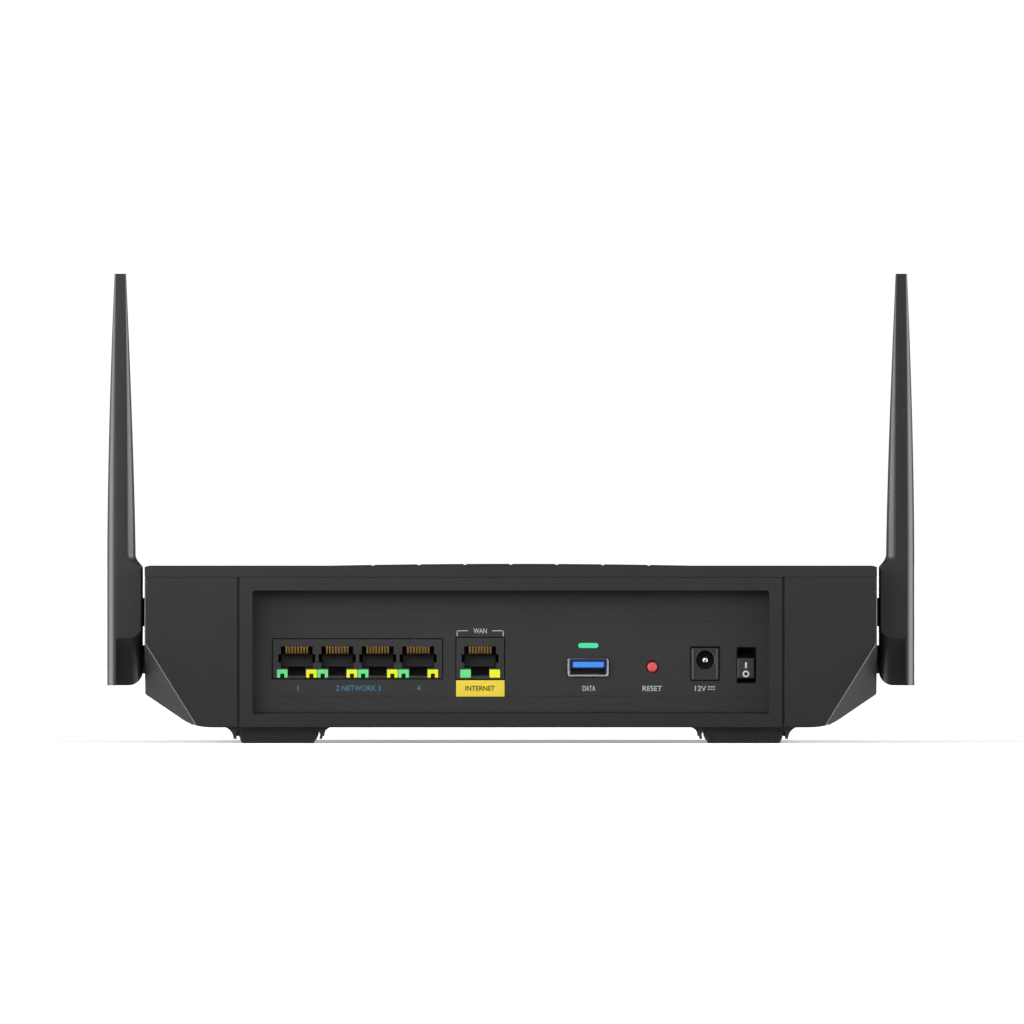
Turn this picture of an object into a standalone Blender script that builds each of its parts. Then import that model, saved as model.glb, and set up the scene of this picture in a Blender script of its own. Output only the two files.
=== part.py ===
"""Wireless router with two folding blade antennas, as an assembly of separate pieces.

The origin is on the surface the feet stand on, below the middle of the body.
+X is to the right when facing the connectors, +Y runs from the connectors to the front, +Z is up.
Sizes below are in millimetres; the meshes are made in metres.
"""

import math

import bmesh
import bpy
from mathutils import Vector

MM = 0.001
GAP = 0.3                      # clearance between neighbouring pieces

# Case
HALF_WIDTH = 126.4
HALF_DEPTH = 102.0
BODY_BOTTOM = 5.45
COVER_SEAM = 57.3              # joint between the bottom housing and the top cover
BODY_TOP = 60.9
CROWN = 0.7                    # rise of the vent grille over the top cover
WALL = 2.4
FLOOR = 2.2
CHAMFER_TOP = 16.8             # where the lower side chamfer meets the side wall
FACET_TOP = 34.7               # where the cut end corner meets the side wall
FACET_RUN = 33.0               # how far the cut end corner runs along the side
FACET_SLOPE = 1.57
CREASE = 35.1                  # below this height the front and rear faces lean inwards
LEAN = 1.4                     # how far in they have come at the case's bottom

# Vent grille
GRILLE_HALF_X, GRILLE_HALF_Y = 66.0, 70.0
GROOVES, GROOVE_PITCH, GROOVE_WIDTH, GROOVE_DEPTH = 7, 16.0, 1.2, 0.8
SLOT_ROWS, SLOT_PITCH = 18, 7.0

# Rear frame and its recess
FRAME_HALF = 94.4
RECESS_HALF = 89.2
RECESS_LOW, RECESS_HIGH = 9.9, 52.7
RECESS_DEPTH = 9.0
RECESS_WALL = 1.6
PANEL_THICK = 1.8
PANEL_FRONT = -HALF_DEPTH + RECESS_DEPTH + GAP

# Status light
STATUS_Z, STATUS_RADIUS = 40.0, 1.7

# Feet
FOOT_X, FOOT_Y = 80.4, 84.0
FOOT_HALF_LENGTH = 14.0
SKIRT_TOP_HALF, SKIRT_LOW_HALF, SKIRT_LOW = 20.0, 15.3, 1.5
PAD_TOP = 4.5
PAD_SIDES = ((12.3, 0.0), (12.6, 0.3), (13.1, 1.4), (13.5, 3.1), (13.5, PAD_TOP))   # half width, height
PAD_WAY = ((14.3, 0.5), (14.3, 1.4), (14.55, 3.2), (13.9, PAD_TOP + GAP))         # the skirt's channel for it
SCREW_X, SCREW_Y, SCREW_HEAD_SEAT = 108.0, 62.0, 9.5

# Antennas
PIVOT_Y, PIVOT_Z = -70.0, 37.0
BLADE_TIP, BLADE_WAIST, BASE_TOP = 162.1, 64.5, 61.0
BLADE_OUTER, BLADE_INNER, BASE_INNER = 139.4, 129.8, 127.3
BLADE_LOW, BLADE_HEEL = 19.9, 36.6     # flat bottom, and where its slanted corners start
HEEL_RADIUS = 4.8
OUTER_SKIN = 136.3             # outside this x the blade runs down to its flat bottom
BLADE_HALF_DEPTH, TIP_HALF_DEPTH, FLAT_BOTTOM_HALF = 20.0, 12.0, 8.0
HUB_RADIUS, HUB_SLOT, WASHER_RADIUS = 13.1, 6.6, 15.4

# Board and connectors; a block is (x from, x to, z from, z to) on the connector panel
BOARD_TOP, BOARD_THICK = 21.5, 1.6
JACK_FACE = -HALF_DEPTH + RECESS_DEPTH - GAP
PORT_PITCH = 13.97
FIRST_PORT_X = -73.9
WAN_X = -10.6
LAN_BLOCK = (-82.2, -23.7, 22.3, 35.9)
WAN_BLOCK = (-18.8, -2.3, 22.1, 36.4)
JACK_DEPTH, MOUTH_DEPTH = 21.0, 14.0
LIGHT_OFFSET, LIGHT_HALF, LIGHT_LOW, LIGHT_HIGH, LIGHT_DEPTH = 5.05, 1.8, 22.7, 25.4, 12.0
USB_X, USB_Z, USB_HALF_W, USB_HALF_H = 26.7, 26.1, 7.1, 3.1
USB_LIGHT = (23.2, 30.3, 32.7, 34.7)
RESET_X, RESET_Z, RESET_RADIUS, RESET_HOLE = 48.8, 26.3, 1.7, 2.4
DC_X, DC_Z = 67.1, 28.7
DC_BLOCK = (62.2, 71.8, 21.8, 33.3)
SWITCH_BLOCK = (77.8, 84.5, 20.8, 33.1)
SWITCH_X, SWITCH_PIVOT_Y, SWITCH_PIVOT_Z = 81.15, -89.5, 27.0


# ---------------------------------------------------------------- helpers

def clear_scene():
    for item in list(bpy.data.objects):
        bpy.data.objects.remove(item, do_unlink=True)


def material(name, colour, roughness, metallic=0.0, emission=0.0):
    made = bpy.data.materials.new(name)
    made.use_nodes = True
    shader = made.node_tree.nodes["Principled BSDF"]
    shader.inputs["Base Color"].default_value = (*colour, 1.0)
    shader.inputs["Roughness"].default_value = roughness
    shader.inputs["Metallic"].default_value = metallic
    if emission:
        shader.inputs["Emission Color"].default_value = (*colour, 1.0)
        shader.inputs["Emission Strength"].default_value = emission
    return made


def mesh_object(name, points, faces, surface, origin=(0, 0, 0)):
    """An object whose points are given in millimetres, with its own origin on a joint's axis if need be."""
    start = Vector(origin)
    mesh = bpy.data.meshes.new(name)
    mesh.from_pydata([(Vector(p) - start) * MM for p in points], [], faces)
    build = bmesh.new()
    build.from_mesh(mesh)
    bmesh.ops.recalc_face_normals(build, faces=build.faces)
    build.to_mesh(mesh)
    build.free()
    made = bpy.data.objects.new(name, mesh)
    made.location = start * MM
    bpy.context.scene.collection.objects.link(made)
    if surface:
        made.data.materials.append(surface)
    return made


def loft(name, rings, surface=None, origin=(0, 0, 0)):
    """A closed body through rings of equally many points."""
    count = len(rings[0])
    points = [p for ring in rings for p in ring]
    faces = [list(range(count)), list(range(len(points) - count, len(points)))]
    for level in range(len(rings) - 1):
        base = level * count
        for i in range(count):
            j = (i + 1) % count
            faces.append([base + i, base + j, base + count + j, base + count + i])
    return mesh_object(name, points, faces, surface, origin)


def placed(axis, u, v, w):
    """A point at w along the axis, and (u, v) across it."""
    if axis == "X":
        return (w, u, v)
    if axis == "Y":
        return (u, w, v)
    return (u, v, w)


def prism(name, axis, outline, low, high, surface=None, origin=(0, 0, 0)):
    rings = [[placed(axis, u, v, w) for u, v in outline] for w in (low, high)]
    return loft(name, rings, surface, origin)


def prisms(name, axis, outlines, low, high):
    """Several separate prisms in one cutter."""
    points = []
    faces = []
    for outline in outlines:
        first, count = len(points), len(outline)
        points += [placed(axis, u, v, w) for w in (low, high) for u, v in outline]
        faces.append([first + i for i in range(count)])
        faces.append([first + count + i for i in range(count)])
        for i in range(count):
            j = (i + 1) % count
            faces.append([first + i, first + j, first + count + j, first + count + i])
    return mesh_object(name, points, faces, None)


def rectangle(u0, u1, v0, v1):
    return [(u0, v0), (u1, v0), (u1, v1), (u0, v1)]


def box(name, x, y, z, surface=None, origin=(0, 0, 0)):
    return prism(name, "Z", rectangle(*x, *y), *z, surface, origin)


def arc(centre, radius, start, end, steps):
    """Points on a circular arc, angles in degrees."""
    turns = [math.radians(start + (end - start) * i / steps) for i in range(steps + 1)]
    return [(centre[0] + radius * math.cos(t), centre[1] + radius * math.sin(t)) for t in turns]


def circle(centre, radius, steps=32):
    return arc(centre, radius, 0, 360 * (steps - 1) / steps, steps - 1)


def rounded(u0, u1, v0, v1, radius, steps=4):
    corners = [(u1 - radius, v1 - radius, 0), (u0 + radius, v1 - radius, 90),
               (u0 + radius, v0 + radius, 180), (u1 - radius, v0 + radius, 270)]
    return [p for u, v, turn in corners for p in arc((u, v), radius, turn, turn + 90, steps)]


def mirrored(outline):
    """The outline's right half, repeated to the left."""
    return outline + [(-u, v) for u, v in reversed(outline)]


def combine(target, tools, operation):
    for tool in tools:
        tool.hide_render = True
        tool.display_type = "WIRE"
        step = target.modifiers.new(tool.name, "BOOLEAN")
        step.object = tool
        step.operation = operation
        step.solver = "EXACT"
    return target


def cut(target, *tools):
    return combine(target, tools, "DIFFERENCE")


def add(target, *tools):
    return combine(target, tools, "UNION")


def tube(name, route, radius, surface, resolution=2):
    """A wire along a smooth curve through the route's points."""
    curve = bpy.data.curves.new(name, "CURVE")
    curve.dimensions = "3D"
    curve.bevel_depth = radius * MM
    curve.bevel_resolution = resolution
    curve.use_fill_caps = True
    spline = curve.splines.new("POLY")
    smooth = smooth_route(route, 4)
    spline.points.add(len(smooth) - 1)
    for point, place in zip(spline.points, smooth):
        point.co = (*(Vector(place) * MM), 1.0)
    made = bpy.data.objects.new(name, curve)
    made.data.materials.append(surface)
    bpy.context.scene.collection.objects.link(made)
    return made


def smooth_route(route, steps):
    """Points of a Catmull-Rom curve through the route."""
    ends = [route[0], *route, route[-1]]
    made = []
    for i in range(1, len(ends) - 2):
        a, b, c, d = (Vector(ends[i + k]) for k in (-1, 0, 1, 2))
        for step in range(steps):
            t = step / steps
            made.append(0.5 * (2 * b + (c - a) * t + (2 * a - 5 * b + 4 * c - d) * t * t
                               + (3 * b - 3 * c + d - a) * t ** 3))
    made.append(Vector(route[-1]))
    return made


# ---------------------------------------------------------------- materials

def make_materials():
    return {
        "case": material("case", (0.045, 0.045, 0.046), 0.55),
        "recess": material("recess", (0.040, 0.040, 0.041), 0.6),
        "grille": material("grille", (0.030, 0.030, 0.031), 0.5),
        "antenna": material("antenna", (0.047, 0.047, 0.048), 0.45),
        "hinge": material("hinge", (0.008, 0.008, 0.008), 0.3),
        "pad": material("pad", (0.022, 0.022, 0.023), 0.85),
        "jack": material("jack", (0.070, 0.070, 0.072), 0.5),
        "gold": material("gold", (0.75, 0.50, 0.20), 0.3, 1.0),
        "steel": material("steel", (0.65, 0.65, 0.66), 0.3, 1.0),
        "blue": material("blue", (0.05, 0.30, 0.85), 0.4),
        "green_light": material("green_light", (0.12, 0.80, 0.30), 0.3, 0.0, 1.0),
        "yellow_light": material("yellow_light", (0.90, 0.85, 0.08), 0.3, 0.0, 1.0),
        "white_light": material("white_light", (0.80, 0.84, 0.90), 0.3, 0.0, 0.6),
        "red": material("red", (0.70, 0.08, 0.09), 0.4),
        "label": material("label", (0.86, 0.66, 0.05), 0.5),
        "board": material("board", (0.02, 0.12, 0.06), 0.5),
        "aluminium": material("aluminium", (0.60, 0.61, 0.62), 0.4, 1.0),
        "thermal": material("thermal", (0.45, 0.50, 0.62), 0.9),
        "cable": material("cable", (0.03, 0.03, 0.03), 0.5),
    }


# ---------------------------------------------------------------- case

def side_outline(inset, low, high, wall_low):
    """The case's section across X from its bottom to its side, moved in by inset."""
    edge = HALF_WIDTH - inset
    right = [(102.7 - inset, low), (107.4 - inset, low + 0.4), (111.0 - inset, low + 1.45),
             (113.1 - inset, low + 2.55), (edge, wall_low), (edge, high)]
    return mirrored(right)


def corner_wedge(name, side, end, inset):
    """The space below the slanted facet at one lower corner, moved in by inset."""
    rings = []
    for reach in (-8.0, FACET_RUN + 9.0):
        y = HALF_DEPTH - reach
        height = FACET_TOP - (FACET_TOP - CHAMFER_TOP) / FACET_RUN * reach + inset * 2.3
        low_x = HALF_WIDTH - (height + 5.0) / FACET_SLOPE
        triangle = [(140.0, height + (140.0 - HALF_WIDTH) * FACET_SLOPE), (140.0, -5.0), (low_x, -5.0)]
        rings.append([(side * x, end * y, z) for x, z in triangle])
    return loft(name, rings)


def corner_wedges(name, inset):
    return [corner_wedge(f"{name}_{side}_{end}", side, end, inset) for side in (-1, 1) for end in (-1, 1)]


def lean_cutter(name, end):
    """What leans away from the front or rear face below its crease."""
    beyond = 5.0
    slope = LEAN / (CREASE - BODY_BOTTOM)
    inner = HALF_DEPTH - slope * (CREASE + beyond)
    outline = [(HALF_DEPTH + 2, CREASE), (HALF_DEPTH, CREASE), (inner, -beyond), (HALF_DEPTH + 2, -beyond)]
    return prism(name, "X", [(end * y, z) for y, z in outline], -140.0, 140.0)


def foot_skirt(name, x, y):
    """A moulded foot with hollow flanks, wider where it meets the case, and a channel for the pad."""
    rise = BODY_BOTTOM + 0.4 - SKIRT_LOW
    reach = SKIRT_TOP_HALF - SKIRT_LOW_HALF
    flank = [(SKIRT_TOP_HALF - reach * math.sin(t), BODY_BOTTOM + 0.4 - rise * (1 - math.cos(t)))
             for t in (math.radians(90 * i / 6) for i in range(7))]
    outline = [(x + u, z) for u, z in mirrored(list(reversed(flank)))]
    skirt = prism(name, "Y", outline, y - FOOT_HALF_LENGTH, y + FOOT_HALF_LENGTH)
    way = [(x + u, z) for u, z in mirrored(list(PAD_WAY))]
    return cut(skirt, prism(f"{name}_way", "Y", way, y - 20.0, y + 20.0))


def screw_places():
    return [(side * SCREW_X, end * SCREW_Y) for side in (-1, 1) for end in (-1, 1)]


def make_bottom_housing(look):
    housing = prism("bottom_housing", "Y", side_outline(0, BODY_BOTTOM, COVER_SEAM - GAP, CHAMFER_TOP),
                    -HALF_DEPTH, HALF_DEPTH, look["case"])
    cut(housing, *corner_wedges("corner_cut", 0.0))
    cut(housing, lean_cutter("rear_lean", -1), lean_cutter("front_lean", 1))
    inside = prism("housing_inside", "Y", side_outline(WALL, BODY_BOTTOM + FLOOR, 70.0, CHAMFER_TOP + 1.6),
                   WALL - HALF_DEPTH, HALF_DEPTH - WALL)
    cut(inside, *corner_wedges("inner_corner_cut", WALL))
    cut(housing, inside)
    rear_opening = box("rear_opening", (-FRAME_HALF, FRAME_HALF), (-HALF_DEPTH - 1, WALL - HALF_DEPTH + GAP),
                       (0, 70))
    cut(housing, rear_opening)
    for side in (-1, 1):
        for end in (-1, 1):
            add(housing, foot_skirt(f"skirt_{side}_{end}", side * FOOT_X, end * FOOT_Y))
    for number, (x, y) in enumerate(screw_places()):
        post = prism(f"post_{number}", "Z", circle((x, y), 4.6, 20), 7.0, 30.0)
        add(housing, post)
        head_space = prism(f"head_space_{number}", "Z", circle((x, y), 3.3, 20), 0, SCREW_HEAD_SEAT)
        bore = prism(f"post_bore_{number}", "Z", circle((x, y), 1.8, 16), 0, 40)
        cut(housing, head_space, bore)
    for number, (x, y) in enumerate([(-80, -60), (62, -60), (-80, 55), (62, 55)]):
        standoff = prism(f"standoff_{number}", "Z", circle((x, y), 3.4, 16), 7.0, BOARD_TOP - BOARD_THICK - GAP)
        add(housing, standoff)
    for side in (-1, 1):
        bearing = prism(f"hub_bearing_{side}", "X", circle((PIVOT_Y, PIVOT_Z), HUB_RADIUS + GAP, 48),
                        side * 120.0, side * 130.0)
        cut(housing, bearing)
    vents = [rounded(x, x + 40.0, y, y + 3.0, 1.4, 2)
             for x in (-48.0, 8.0) for y in (-48.0 + 12.0 * row for row in range(9))]
    cut(housing, prisms("floor_vents", "Z", vents, 0, 12))
    status_hole = circle((0, STATUS_Z), STATUS_RADIUS + GAP, 20)
    cut(housing, prism("status_hole", "Y", status_hole, 95.0, HALF_DEPTH + 1))


def make_foot_pads(look):
    for side, side_name in ((-1, "left"), (1, "right")):
        for end, end_name in ((-1, "rear"), (1, "front")):
            x, y = side * FOOT_X, end * FOOT_Y
            reach = FOOT_HALF_LENGTH - 0.3
            rings = [[(px, py, z) for px, py in rounded(x - half, x + half, y - reach, y + reach, 0.8, 3)]
                     for half, z in PAD_SIDES]
            loft(f"{side_name}_{end_name}_foot_pad", rings, look["pad"])


def make_case_screws(look):
    for number, (x, y) in enumerate(screw_places(), 1):
        rings = [[(px, py, z) for px, py in circle((x, y), radius, 16)]
                 for radius, z in ((2.6, 6.2), (3.0, 7.0), (3.0, SCREW_HEAD_SEAT - GAP),
                                   (1.5, SCREW_HEAD_SEAT - GAP), (1.5, 37.0), (0.6, 38.5))]
        screw = loft(f"case_screw_{number}", rings, look["steel"])
        drive = [box(f"screw_drive_{number}_{i}", (x - a, x + a), (y - b, y + b), (5, 7.6))
                 for i, (a, b) in enumerate(((1.9, 0.45), (0.45, 1.9)))]
        cut(screw, *drive)


def make_top_cover(look):
    edge, top, bevel = HALF_WIDTH, BODY_TOP, 0.5
    outline = mirrored([(edge, COVER_SEAM), (edge, top - bevel), (edge - bevel, top)])
    cover = prism("top_cover", "Y", outline, -HALF_DEPTH, HALF_DEPTH, look["case"])
    hollow = box("cover_hollow", (WALL - edge, edge - WALL), (WALL - HALF_DEPTH, HALF_DEPTH - WALL),
                 (COVER_SEAM - 1, top - 1.8))
    window_x, window_y = GRILLE_HALF_X + GAP, GRILLE_HALF_Y + GAP
    window = prism("grille_window", "Z", rounded(-window_x, window_x, -window_y, window_y, 8.0), 50, 70)
    cut(cover, hollow, window)
    for number, (x, y) in enumerate(screw_places()):
        post = prism(f"cover_post_{number}", "Z", circle((x, y), 4.2, 20), 30.0 + GAP, top - 1.0)
        bore = prism(f"cover_bore_{number}", "Z", circle((x, y), 1.8, 16), 20, 45)
        add(cover, post)
        cut(cover, bore)


def crown_height(x):
    return BODY_TOP + CROWN * (1 - (x / GRILLE_HALF_X) ** 2)


def make_vent_grille(look):
    """A slightly crowned plate in the cover's window: grooves from front to rear, and slanted slots."""
    upper = [(GRILLE_HALF_X, crown_height(GRILLE_HALF_X))]
    for i in range(GROOVES - 1, -1, -1):
        x = groove_x(i)
        right, left, top = x + GROOVE_WIDTH / 2, x - GROOVE_WIDTH / 2, crown_height(x)
        upper += [(right, top), (right, top - GROOVE_DEPTH), (left, top - GROOVE_DEPTH), (left, top)]
    upper.append((-GRILLE_HALF_X, crown_height(-GRILLE_HALF_X)))
    lower = [(-GRILLE_HALF_X, BODY_TOP - 1.8), (0.0, BODY_TOP - 1.8 + CROWN), (GRILLE_HALF_X, BODY_TOP - 1.8)]
    grille = prism("vent_grille", "Y", upper + lower, -GRILLE_HALF_Y, GRILLE_HALF_Y, look["grille"])
    trim = prism("grille_trim", "Z",
                 rounded(-GRILLE_HALF_X, GRILLE_HALF_X, -GRILLE_HALF_Y, GRILLE_HALF_Y, 8.0), 40, 80)
    combine(grille, [trim], "INTERSECT")
    slots = []
    for band in range(GROOVES + 1):
        x = (band - GROOVES / 2) * GROOVE_PITCH
        slant = 1.4 if x > 0 else -1.4
        for row in range(SLOT_ROWS):
            y = (row - (SLOT_ROWS - 1) / 2) * SLOT_PITCH
            slots.append([(x - 5, y - 1.1 - slant), (x + 5, y - 1.1 + slant),
                          (x + 5, y + 1.1 + slant), (x - 5, y + 1.1 - slant)])
    cut(grille, prisms("grille_slots", "Z", slots, 40, 80))


def groove_x(i):
    return (i - (GROOVES - 1) / 2) * GROOVE_PITCH


def make_rear_frame(look):
    """A flat border around a recess whose walls run forward to the connector panel."""
    half = FRAME_HALF - GAP
    frame = box("rear_frame", (-half, half), (-HALF_DEPTH, WALL - HALF_DEPTH),
                (BODY_BOTTOM, COVER_SEAM - GAP), look["case"])
    outer = RECESS_HALF + RECESS_WALL
    tunnel = prism("recess_tunnel", "Y",
                   rounded(-outer, outer, RECESS_LOW - RECESS_WALL, RECESS_HIGH + RECESS_WALL, 2.0, 3),
                   -HALF_DEPTH + 1.9, -HALF_DEPTH + RECESS_DEPTH)
    opening = prism("recess_opening", "Y", rounded(-RECESS_HALF, RECESS_HALF, RECESS_LOW, RECESS_HIGH, 1.0, 3),
                    -HALF_DEPTH - 1, -HALF_DEPTH + RECESS_DEPTH + 1)
    cut(frame, lean_cutter("frame_lean", -1))
    add(frame, tunnel)
    cut(frame, opening)


def block_outline(block, grow=0.0):
    x0, x1, z0, z1 = block
    return rectangle(x0 - grow, x1 + grow, z0 - grow, z1 + grow)


def usb_outline(shrink, radius):
    return rounded(USB_X - USB_HALF_W + shrink, USB_X + USB_HALF_W - shrink, USB_Z - USB_HALF_H + shrink,
                   USB_Z + USB_HALF_H - shrink, radius, 2)


def make_io_panel(look):
    outer = RECESS_HALF + RECESS_WALL
    panel = box("io_panel", (-outer, outer), (PANEL_FRONT, PANEL_FRONT + PANEL_THICK),
                (RECESS_LOW - RECESS_WALL, RECESS_HIGH + RECESS_WALL), look["recess"])
    x0, x1, z0, z1 = USB_LIGHT
    holes = [block_outline(block, GAP) for block in (LAN_BLOCK, WAN_BLOCK, DC_BLOCK, SWITCH_BLOCK)]
    holes += [usb_outline(-GAP, 0.8), rounded(x0 - GAP, x1 + GAP, z0 - GAP, z1 + GAP, 1.2),
              circle((RESET_X, RESET_Z), RESET_HOLE, 24)]
    cut(panel, prisms("panel_holes", "Y", holes, PANEL_FRONT - 2, PANEL_FRONT + 5))


def make_wan_label(look):
    box("wan_label", (WAN_X - 8.3, WAN_X + 8.4), (PANEL_FRONT - 0.6, PANEL_FRONT - GAP), (16.1, 21.5),
        look["label"])


def make_status_light(look):
    """A light pipe that shows in the middle of the front wall."""
    outline = circle((0, STATUS_Z), STATUS_RADIUS, 20)
    prism("status_light_pipe", "Y", outline, 96.0, HALF_DEPTH, look["white_light"])


# ---------------------------------------------------------------- connectors

def socket_outline(x):
    """The mouth of a modular jack: a body, a wider waist for the plug's shoulders, and a latch notch."""
    right = [(3.0, 23.3), (3.0, 26.0), (5.5, 26.0), (5.5, 27.8), (6.4, 27.8), (6.4, 30.7),
             (5.5, 30.7), (5.5, 33.4)]
    return [(x + u, z) for u, z in mirrored(right)]


def light_pipe(name, x, grow, surface=None):
    outline = rectangle(x - LIGHT_HALF - grow, x + LIGHT_HALF + grow, LIGHT_LOW - grow, LIGHT_HIGH + grow)
    return prism(name, "Y", outline, JACK_FACE - grow * 5, JACK_FACE + LIGHT_DEPTH + grow, surface)


def jack_lights(name, x, look, block):
    """Two light pipes in the lower corners of a port, each in a pocket of the block."""
    for side, offset, slot in (("left", -LIGHT_OFFSET, "green_light"), ("right", LIGHT_OFFSET, "yellow_light")):
        light_pipe(f"{name}_{side}_light", x + offset, 0.0, look[slot])
        cut(block, light_pipe(f"{name}_{side}_pocket", x + offset, GAP))


def contact_comb(name, x, look):
    """Eight spring contacts that slope down from the mouth's roof and share one bar at the back."""
    pitch, half, back, front = 1.02, 0.28, JACK_FACE + 9.5, JACK_FACE + 1.0
    bar_half, bar_back, roof, slope, thick = 4.0, back + 1.5, 33.1, 0.16, 0.4
    plan = [(x + bar_half, back), (x + bar_half, bar_back), (x - bar_half, bar_back), (x - bar_half, back)]
    for i in range(8):
        centre = x + (i - 3.5) * pitch
        plan += [(centre - half, back), (centre - half, front), (centre + half, front), (centre + half, back)]
    rings = [[(px, py, roof - (py - front) * slope + lift) for px, py in plan] for lift in (-thick, 0.0)]
    loft(name, rings, look["gold"])


def make_jack(name, centres, outline, look):
    block = prism(f"{name}_jack_block", "Y", block_outline(outline), JACK_FACE, JACK_FACE + JACK_DEPTH,
                  look["jack"])
    for number, centre in enumerate(centres, 1):
        port = f"{name}_{number}" if len(centres) > 1 else name
        cut(block, prism(f"{port}_mouth", "Y", socket_outline(centre), JACK_FACE - 1, JACK_FACE + MOUTH_DEPTH))
        jack_lights(port, centre, look, block)
        contact_comb(f"{port}_contacts", centre, look)


def make_usb(look):
    shell = prism("usb_shell", "Y", usb_outline(0.0, 0.8), JACK_FACE - 0.8, JACK_FACE + 14.0, look["steel"])
    cut(shell, prism("usb_mouth", "Y", usb_outline(0.6, 0.4), JACK_FACE - 2, JACK_FACE + 13.2))
    box("usb_tongue", (21.5, 32.0), (JACK_FACE + 0.8, JACK_FACE + 12.9), (26.1, 28.1), look["blue"])
    prism("usb_light", "Y", rounded(*USB_LIGHT, 0.95), JACK_FACE + GAP, JACK_FACE + 6.0, look["green_light"])


def make_reset(look):
    """The button slides in the panel's hole, with a collar behind it and a tact switch behind that."""
    face = JACK_FACE + 0.4
    rings = [[(px, y, pz) for px, pz in circle((RESET_X, RESET_Z), radius, 24)]
             for radius, y in ((RESET_RADIUS - 0.2, face), (RESET_RADIUS, face + 0.3), (RESET_RADIUS, -90.2),
                               (3.1, -90.2), (3.1, -89.2), (1.3, -89.2), (1.3, -86.6))]
    loft("reset_button", rings, look["red"], (RESET_X, face, RESET_Z))
    box("reset_switch", (RESET_X - 3.1, RESET_X + 3.1), (-85.4, -81.9), (21.8, 29.4), look["cable"])


def make_dc_jack(look):
    body = prism("dc_jack_body", "Y", block_outline(DC_BLOCK), JACK_FACE, JACK_FACE + 13.5, look["jack"])
    cut(body, prism("dc_mouth", "Y", circle((DC_X, DC_Z), 3.2, 32), JACK_FACE - 1, JACK_FACE + 10.0))
    rings = [[(px, y, pz) for px, pz in circle((DC_X, DC_Z), radius, 16)]
             for radius, y in ((0.5, JACK_FACE + 0.6), (0.95, JACK_FACE + 1.2), (0.95, JACK_FACE + 9.7))]
    loft("dc_jack_pin", rings, look["steel"])


def make_power_switch(look):
    housing = prism("switch_housing", "Y", block_outline(SWITCH_BLOCK), JACK_FACE, JACK_FACE + 15.0,
                    look["hinge"])
    cut(housing, box("switch_well", (78.4, 83.9), (JACK_FACE - 1, JACK_FACE + 8.5), (21.2, 32.7)))
    outline = [(JACK_FACE - 0.3, 22.2), (JACK_FACE - 0.3, 29.2), (JACK_FACE + 3.2, 32.0), (-87.0, 31.0),
               (-87.0, 23.0), (-89.6, 22.0)]
    prism("switch_rocker", "X", outline, 78.7, 83.6, look["jack"], (SWITCH_X, SWITCH_PIVOT_Y, SWITCH_PIVOT_Z))


# ---------------------------------------------------------------- electronics

def make_electronics(look):
    low = BOARD_TOP - BOARD_THICK
    box("main_board", (-92.0, 74.0), (-89.5, 66.0), (low, BOARD_TOP), look["board"])
    processor = box("processor_shield", (-32, 22), (-34, 20), (BOARD_TOP + GAP, 25.0), look["steel"])
    cut(processor, box("processor_space", (-31.4, 21.4), (-33.4, 19.4), (BOARD_TOP - 1, 24.4)))
    radio = box("radio_shield", (30, 66), (-30, 30), (BOARD_TOP + GAP, 25.0), look["steel"])
    cut(radio, box("radio_space", (30.6, 65.4), (-29.4, 29.4), (BOARD_TOP - 1, 24.4)))
    box("thermal_pad", (-24, 14), (-26, 12), (25.3, 26.5), look["thermal"])
    fins, pitch, thick = 11, 7.0, 1.6
    left = -5.0 - (fins * pitch - pitch + thick) / 2
    comb = [(left + (fins - 1) * pitch + thick, 26.8), (left, 26.8)]
    for i in range(fins):
        x = left + i * pitch
        comb += [(x, 44.0), (x + thick, 44.0)]
        if i < fins - 1:
            comb += [(x + thick, 30.0), (x + pitch, 30.0)]
    prism("heat_sink", "Y", comb, -40.0, 26.0, look["aluminium"])


# ---------------------------------------------------------------- antennas

def blade_fraction(z):
    return max(0.0, (z - BLADE_WAIST) / (BLADE_TIP - BLADE_WAIST))


def blade_outer(z):
    return BLADE_OUTER - 2.5 * blade_fraction(z) ** 1.7


def blade_inner(z):
    """The inner face: thick around the hub, stepping smoothly to the slim blade above it."""
    if z <= BASE_TOP:
        return BASE_INNER
    if z < BLADE_WAIST:
        share = (z - BASE_TOP) / (BLADE_WAIST - BASE_TOP)
        return BASE_INNER + (BLADE_INNER - BASE_INNER) * math.sin(math.pi / 2 * share)
    return BLADE_INNER + 3.3 * blade_fraction(z) ** 1.35


def blade_half_depth(z):
    rise = max(0.0, (z - BLADE_HEEL) / (BLADE_TIP - BLADE_HEEL))
    return BLADE_HALF_DEPTH - (BLADE_HALF_DEPTH - TIP_HALF_DEPTH) * rise


def blade_ring(side, z):
    """An eight-sided section: a flat edge front and rear, with wide bevels to the two faces."""
    half = blade_half_depth(z)
    outer, inner = blade_outer(z), blade_inner(z)
    flat_outer = OUTER_SKIN
    if z <= BASE_TOP:
        flat_inner = min(133.2, inner + 1.1)
    else:
        flat_inner = max(inner + 0.1, 133.2 - 4.8 * max(0, 63.5 - z) / 2.5)
    outer_depth = half - (outer - flat_outer) * 1.5
    inner_depth = half - (flat_inner - inner) * 1.5
    right = [(flat_inner, -half), (flat_outer, -half), (outer, -outer_depth)]
    left = [(inner, inner_depth), (inner, -inner_depth)]
    ring = [*right, (outer, outer_depth), (flat_outer, half), (flat_inner, half), *left]
    return [(side * x, PIVOT_Y + y, z) for x, y in ring]


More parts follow.
